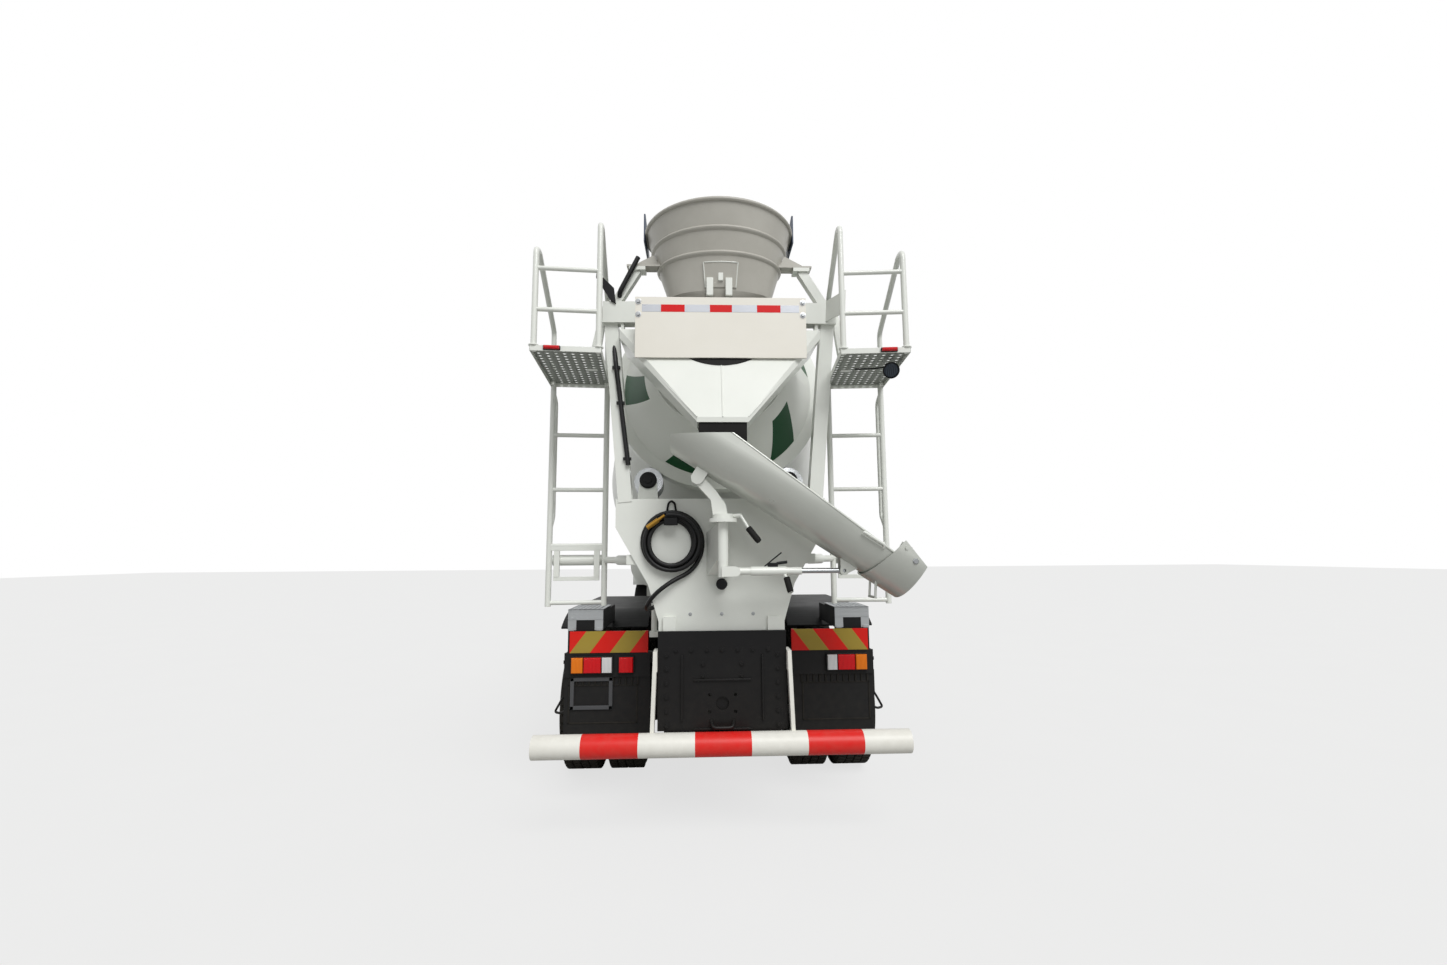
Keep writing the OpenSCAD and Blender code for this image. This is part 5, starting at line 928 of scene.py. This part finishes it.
# %% [markdown]
# ## Boards
# The sign board is cream enamel on a folded sheet, left blank. A strip of reflective film crosses its top: silver
# with three red blocks. The two hazard boards below are their solids with the striped finish, so only the sign board
# needs a sheet of its own, wrapped round its solid by a few millimetres.

# %% Sign board
SIGN_Y = -106
sign = [block((-543, SIGN_Y - 3, 2939), (543, SIGN_Y + 9, 3337))]
piece("sign_board", sign, CREAM, 2)
tape_red, tape_silver = [], []
edges = [-500, -380, -230, -70, 70, 230, 380, 500]
for i, (a, b) in enumerate(zip(edges, edges[1:])):
    (tape_red if i % 2 else tape_silver).append(block((a, SIGN_Y - 4.2, 3238), (b, SIGN_Y - 2, 3286)))
piece("reflective_tape_red", tape_red, RED, 0.3)
piece("reflective_tape_silver", tape_silver, SILVER_FILM, 0.3)
BOLT = [turned([(0, 0), (19, 0), (19, 2.5), (14, 3)], (0, 0, 0), (0, 0, 1), 20),
        turned([(0, 2), (12, 2), (12, 10), (10, 12), (0, 12)], (0, 0, 0), (0, 0, 1), 6)]


def bolts(finish, x, s, z, columns, rows, pitch_x, pitch_z, small=1.0):
    """A grid of bolts on an upright plate, with their heads to the rear."""
    heads = [([p * small for p in points], faces) for points, faces in BOLT]
    return gridded(heads, finish, Matrix.Translation(at(x, s, z)) @ STAND_UP, columns, rows, pitch_x, pitch_z)


piece("sign_bolts", [bolts(STEEL, 0, SIGN_Y - 3, 3262, 2, 2, 1046, 84)], STEEL)
print("tape blocks:", len(tape_red), "red,", len(tape_silver), "silver")

# %% [markdown]
# ## Chassis tail
# Below the stand is a black cross plate with rows of bolts, and beside it the rubber flaps with their stays, an empty
# number-plate frame on the left, and chequered aluminium steps on the mudguards. The chequer is a grid of raised
# lozenges, a form of two crossing bars repeated on the plate.

# %% Chassis tail
piece("end_plate_bolts", [bolts(BLACK, side * 345, 69.5, 880, 1, 6, 10, 84) for side in (-1, 1)]
      + [bolts(BLACK, 0, 69.5, 1120, 7, 1, 96, 10), bolts(BLACK, 0, 69.5, 1000, 2, 2, 240, 70)],
      BLACK)
piece("end_plate_ribs", [block((x - 6, 52, 700), (x + 6, 71, 1090)) for x in (-250, 250)]
      + [block((-180, 56, 936), (180, 71, 948)), block((-180, 56, 644), (180, 71, 656)),
         tube([(-70, 66, 700), (-60, 20, 668), (60, 20, 668), (70, 66, 700)], 11, 30)],
      BLACK, 2)
stays = [tube([(1070, 552, 760), (1098, 556, 716), (1140, 556, 640), (1102, 552, 634), (1068, 552, 646)], 8, 24),
         block((1062, 538, 740), (1084, 560, 900)), block((480, 526, 966), (1082, 534.5, 990))]
piece("flap_stays", both_sides(stays), BLACK, 1.5)
piece("plate_frame", picture_frame(-1032, -742, 660, 874, 520, 535, 26), TRIM, 3)
PLEAT = [plate([(-9, 0, -30), (-5, -8, -30), (5, -8, -30), (9, 0, -30)], (0, 0, 60))]
mould = picture_frame(570, 1046, 566, 824, 529, 535, 10) + [block((540, 531, 470), (1070, 535, 482))]
DIAGONAL = math.sqrt(0.5)
points, faces = skin([[Vector((DIAGONAL * (u - v), DIAGONAL * (u + v), h)) for u, v in (
    (-11, 0), (0, -3.2 * k), (11, 0), (0, 3.2 * k))] for h, k in ((0, 1), (2.2, 0.6))])
LOZENGES = [(points, faces), ([Vector((17 - p.x, p.y, p.z)) for p in points], [f[::-1] for f in faces])]
sheet = [block((818, 546, 1329.6), (1062, 904, 1333.6)), block((818, 546, 1260), (1062, 549.6, 1333)),
         block((818, 546, 1190), (876, 549.6, 1262)), block((1004, 546, 1190), (1062, 549.6, 1262)),
         block((824, 538, 1188), (862, 547, 1206)), block((1018, 538, 1188), (1056, 547, 1206))]
for side, word in SIDES:
    folds = gridded(PLEAT, RUBBER, Matrix.Translation(at(side * 800, 534.5, 850)), 12, 1, 42, 10)
    piece(f"flap_mould_{word}", on_side(side, mould) + [folds], RUBBER, 2)
for side, word in SIDES:
    level = Matrix.Translation(at(side * 940 - 8, 725, 1333.2))
    upright = Matrix.Translation(at(side * 940 - 8, 546.4, 1297)) @ STAND_UP
    lozenges = [gridded(LOZENGES, ALLOY, spot, 7, rows, 34, 24) for spot, rows in ((level, 14), (upright, 3))]
    piece(f"chequer_step_{word}", on_side(side, sheet) + lozenges, ALLOY, smooth=30)
print("flap stays, plate frame and chequered steps")

# %% [markdown]
# ## Stand, chute and drum details
# The stand carries bolts, the drain plug's knob, the hose's hook and the drum rollers' bearing caps. The chute has a
# handle, a bolt at its flap and a pawl on its strut, and its two levers end in black grips. Under the right platform
# hangs a round work lamp on a bracket.

# %% Stand and chute details
piece("stand_bolts", [bolts(STEEL, 0, 119.6, 1335, 3, 1, 200, 10, small=0.6)], STEEL)
knob = [(0, 0), (30, 0), (30, 10), (20, 14), (20, 26), (34, 30), (36, 40), (30, 50), (0, 52)]
piece("drain_knob", [turned(knob, (0, 120, 1524), (0, -1, 0), 28)], PLASTIC)
back = Vector((0, -math.cos(DRUM_TILT), math.sin(DRUM_TILT)))
cap = [(0, -6), (62, -6), (62, 14), (54, 22), (30, 22), (28, 30), (0, 30)]
for side, word in SIDES:
    end = Vector((side * 512.8, 651.2, 2228.8)) + back * 84
    piece(f"roller_cap_{word}", [turned(cap, end, back, 32)], PLASTIC, body=f"{word}_roller")
FLAP_SIDE = -424
grip = [(0, -2), (17, 0), (19, 6), (19, 70), (16, 80), (0, 84)]
for name, start, end, body, reach in (("swing_grip", (146, -254, 1864), (206, -280, 1784), "swing_head", 1.06),
                                      ("ratchet_grip", (368, -234, 1576), (388, -260, 1489), "strut_body", 1.03)):
    run = Vector(end) - Vector(start)
    scale = run.length * reach / 84
    piece(name, [turned([(r, h * scale) for r, h in grip], start, run, 20)], RUBBER, body=body)
hook = [(-350, 118, 1985), (-340, 102, 2040), (-320, 100, 2056), (-300, 102, 2040), (-290, 118, 1985)]
piece("hose_hook", [tube(hook, 7, 24), block((-363, 20, 1894), (-277, 36, 1942))], BLACK, 4)
piece("trough_handle", [tube([(784, -410, 1815), (780, -426, 1832), (896, -426, 1758), (892, -410, 1741)], 8, 14),
                        tube([(772, -412, 1822), (884, -412, 1750)], 6)], WHITE, body="trough")
piece("flap_bolt", [turned([(0, -4), (17, -4), (17, 3), (12, 9), (0, 9)], (1066, FLAP_SIDE, 1666), (0, -1, 0), 20)],
      STEEL, body="end_flap")
piece("ratchet_pawl", [block((262, -213, 1634), (322, -187, 1660)), tube([(316, -200, 1656), (378, -200, 1664)], 9),
                       tube([(240, -200, 1636), (300, -200, 1684), (346, -200, 1720)], 4)],
      PLASTIC, 2, body="strut_body")
lamp_at, aim = Vector((1080, -100, 2866)), Vector((-0.1, -0.9, -0.42))
shade = [(0, -42), (20, -42), (44, -24), (52, 0), (52, 14), (46, 14), (44, 2), (0, 2)]
piece("work_lamp", [turned(shade, lamp_at, aim, 32), tube([lamp_at + Vector((0, 20, 20)), (1080, -70, 2918)], 9),
                    block((1056, -90, 2910), (1104, -50, 2918)),
                    tube([lamp_at - aim * 40, (1060, -40, 2905), (1000, 0, 2908), (880, 20, 2910)], 5, 30)],
      PLASTIC, 1)
bulge = [(0, -2), (45, 0), (44, 5), (30, 9), (0, 11)]
piece("work_lamp_lens", [turned(bulge, lamp_at + aim.normalized() * 3, aim, 32)], LENS_SMOKED)
print("grips, caps and work lamp")

# %% [markdown]
# ## Cab details
# The cab isn't in the photograph, so it stays a plain cab-over of the type. It still gets what makes a cab read as
# one: rubber round the glass, wipers, grille slats, handles, door trims, roof lamps, a visor and mirror glass.


# %% Cab details
def loop(corners, radius, bend):
    """A closed rubber loop through corners, rounded at each."""
    points = [Vector(c) for c in corners]
    start = (points[0] + points[-1]) / 2
    return tube([start] + points + [start], radius, bend)


DOOR_X, SEAL_X = 1240, 1238
for side, word in SIDES:
    x, door = side * SEAL_X, side * DOOR_X
    rubber = [loop([(x, 6810, 1860), (x, 7600, 1860), (x, 7600, 2650), (x, 6810, 2650)], 12, 50)]
    piece(f"window_rubber_{word}", rubber, RUBBER, body=f"{word}_door")
    grab = door + side * 35
    handle = [tube([(door, 6790, 1760), (grab, 6800, 1760), (grab, 6940, 1760), (door, 6950, 1760)], 11, 24),
              block((door - 6, 6770, 1730), (door + 6, 6970, 1790))]
    piece(f"door_handle_{word}", handle, PLASTIC, 3, body=f"{word}_door")
    trim = [block((door - 5, 6740, 1290), (door + 5, 7650, 1400))]
    piece(f"door_trim_{word}", trim, PLASTIC, 4, body=f"{word}_door")
    x0, x1 = sorted((side * 1352, side * 1518))
    glass = [block((x0, 7694, 2300), (x1, 7702, 2580)), block((x0, 7694, 2030), (x1, 7702, 2270))]
    piece(f"mirror_glass_{word}", glass, STEEL, 2, body="cab")
lean = [(-1130, 7886, 1972), (1130, 7886, 1972), (1130, 7690, 2748), (-1130, 7690, 2748)]
piece("screen_rubber", [loop(lean, 14, 60)], RUBBER, body="cab")
wipers = []
for x in (-560, 480):
    wipers += [turned([(0, 0), (22, 0), (22, 20), (0, 26)], (x, 7915, 1950), (0, 1, 0.1), 20),
               tube([(x, 7932, 1954), (x + 60, 7922, 2120), (x + 330, 7896, 2180)], 7, 40),
               tube([(x + 40, 7918, 2090), (x + 620, 7872, 2274)], 6)]
piece("wipers", wipers, PLASTIC, body="cab")
slat = [block((-610, -6, -11), (610, 16, 11))]
slats = gridded(slat, PLASTIC, Matrix.Translation(at(0, 7918, 1398)) @ STAND_UP, 1, 6, 10, 95)
piece("grille_slats", [slats], PLASTIC, 3, body="cab")
visor = [[Vector((x, s, z)) for s, z in ((7690, 2760), (7880, 2700), (7884, 2712), (7692, 2776))]
         for x in (-1100, -700, 0, 700, 1100)]
piece("sun_visor", [skin(visor)], PLASTIC, 3, body="cab")
roof_lamps = []
for x in (-900, -300, 300, 900):
    rings = [[Vector((x + u * (70 - k), 7560 + v * (32 - k * 0.6), z)) for u, v in
              ((-1, -1), (1, -1), (1, 1), (-1, 1))] for k, z in ((0, 2878), (3, 2906), (16, 2916))]
    roof_lamps.append(skin(rings))
piece("roof_lamps", roof_lamps, LENS_AMBER, 6, body="cab")
print("cab details made")

# %% [markdown]
# ## Water line and small fittings
# A black water line climbs the left post, crosses the beam and follows the hopper's arm to the rim, where it rinses
# the funnel. It is a stiff pipe held by clips, so it is swept like the handrails. Gussets join the handrails to the
# beam. The discharge hopper has welded seams and a dark arc of painted shade where its notch shows the dark inside,
# the hatch two tabs, and a towing socket's cup sits behind the end plate.

# %% Water line
line = [(-600, 99, 2289), (-639, 99, 2586), (-691, 99, 2977), (-712, 140, 3130), (-722, 196, 3240), (-722, 196, 3390),
        (-668, 150, 3428), (-672, 72, 3440), (-547, 72, 3695)]
clips = [block((x - 26, 92, z - 9), (x + 26, 116, z + 9)) for x, z in ((-608, 2330), (-655, 2700), (-686, 2940))]
strap = [plate([(-824, 72, 3580), (-826, 72, 3550), (-724, 72, 3384), (-692, 72, 3371), (-706, 72, 3478),
                (-801, 72, 3574)], (0, 12, 0))]
flare = [plate([(717, 86, 3404), (708, 86, 3260), (806, -50, 3268), (815, -50, 3424)], (7, 5, 0))]
piece("water_line", [tube(line, 16, 40, sides=14)] + clips, HOSE, smooth=40)
piece("rail_gusset", strap, BLACK, 2)
piece("beam_gusset", flare, WHITE, 2)
piece("hopper_seams", [tube([(0, 40, 3178), (0, -318, 2510)], 5), tube([(-646, 39, 3122), (-150, -316, 2512)], 5),
                       tube([(646, 39, 3122), (150, -316, 2512)], 5)], WHITE)
# The arc lies on the hopper's sloping rear wall: a thin black sheet of painted shade, for the dark inside seen through
# the notch under the sign.
SHADE_ARC_R, SHADE_ARC_S, SHADE_ARC_Z, WALL_S, WALL_Z = 364, -116, 2886, 0.471, 0.882
notch = []
for k in range(-10, 11):
    a = math.radians(5 * k)
    up = SHADE_ARC_R * (1 - math.cos(a))
    notch.append((SHADE_ARC_R * math.sin(a), SHADE_ARC_S + WALL_S * up, SHADE_ARC_Z + WALL_Z * up))
piece("hopper_notch", [plate(notch, (0, -6, 3.2))], RUBBER)
tabs = [block((-92, -112, 3350), (-48, -72, 3470)), block((30, -112, 3350), (74, -72, 3470))]
piece("hatch_tabs", tabs, WHITE, 4)
piece("tow_socket", [turned([(0, 0), (62, 0), (62, 90), (0, 90)], (0, 92, 800), (0, 1, 0), 32)], BLACK, 4)
print("water line:", len(line), "points")

# %% [markdown]
# ## Tanks and frame sides
# The fuel tank is rolled aluminium with straps and a filler cap, the battery box has a ribbed lid, and the water tank
# has bands and a filler. Straps are thin loops a few millimetres proud of their tank.

# %% Tanks
straps = [tube([(452, s, 1086), (1186, s, 1086), (1186, s, 514), (452, s, 514)], 9, 60, sides=8) for s in (3940, 4540)]
straps += [turned([(0, 0), (62, 0), (62, 30), (54, 42), (20, 46), (0, 46)], (900, 4240, 1079), (0, 0, 1), 36)]
piece("fuel_tank_straps", straps, STEEL, smooth=40)
lid = [block((-1166, 3714, 1050), (-454, 4326, 1074))] + [
    block((-1150 + 90 * i, 3730, 1070), (-1110 + 90 * i, 4310, 1082)) for i in range(8)]
piece("battery_lid", lid, PLASTIC, 4)
BAND_R = 293
bands = []
for s in (5200, 5420, 5660):
    ring = [(-880 + BAND_R * math.cos(a), s, 1540 + BAND_R * math.sin(a)) for a in turns(48) + [2 * math.pi]]
    bands.append(tube(ring, 8, sides=8))
bands.append(turned([(0, 0), (58, 0), (58, 26), (46, 34), (0, 34)], (-880, 5300, 1826), (0, 0, 1), 32))
piece("water_tank_bands", bands, STEEL, smooth=40)
for z in (640, 900):
    ends = [turned([(0, 34), (60, 28), (104, 10), (120, 0), (120, -6), (0, -6)], (-560, s, z), (0, way, 0), 36)
            for s, way in ((4330, -1), (4960, 1))]
    piece(f"air_tank_ends_{z}", ends, BLACK)
print("straps and bands made")
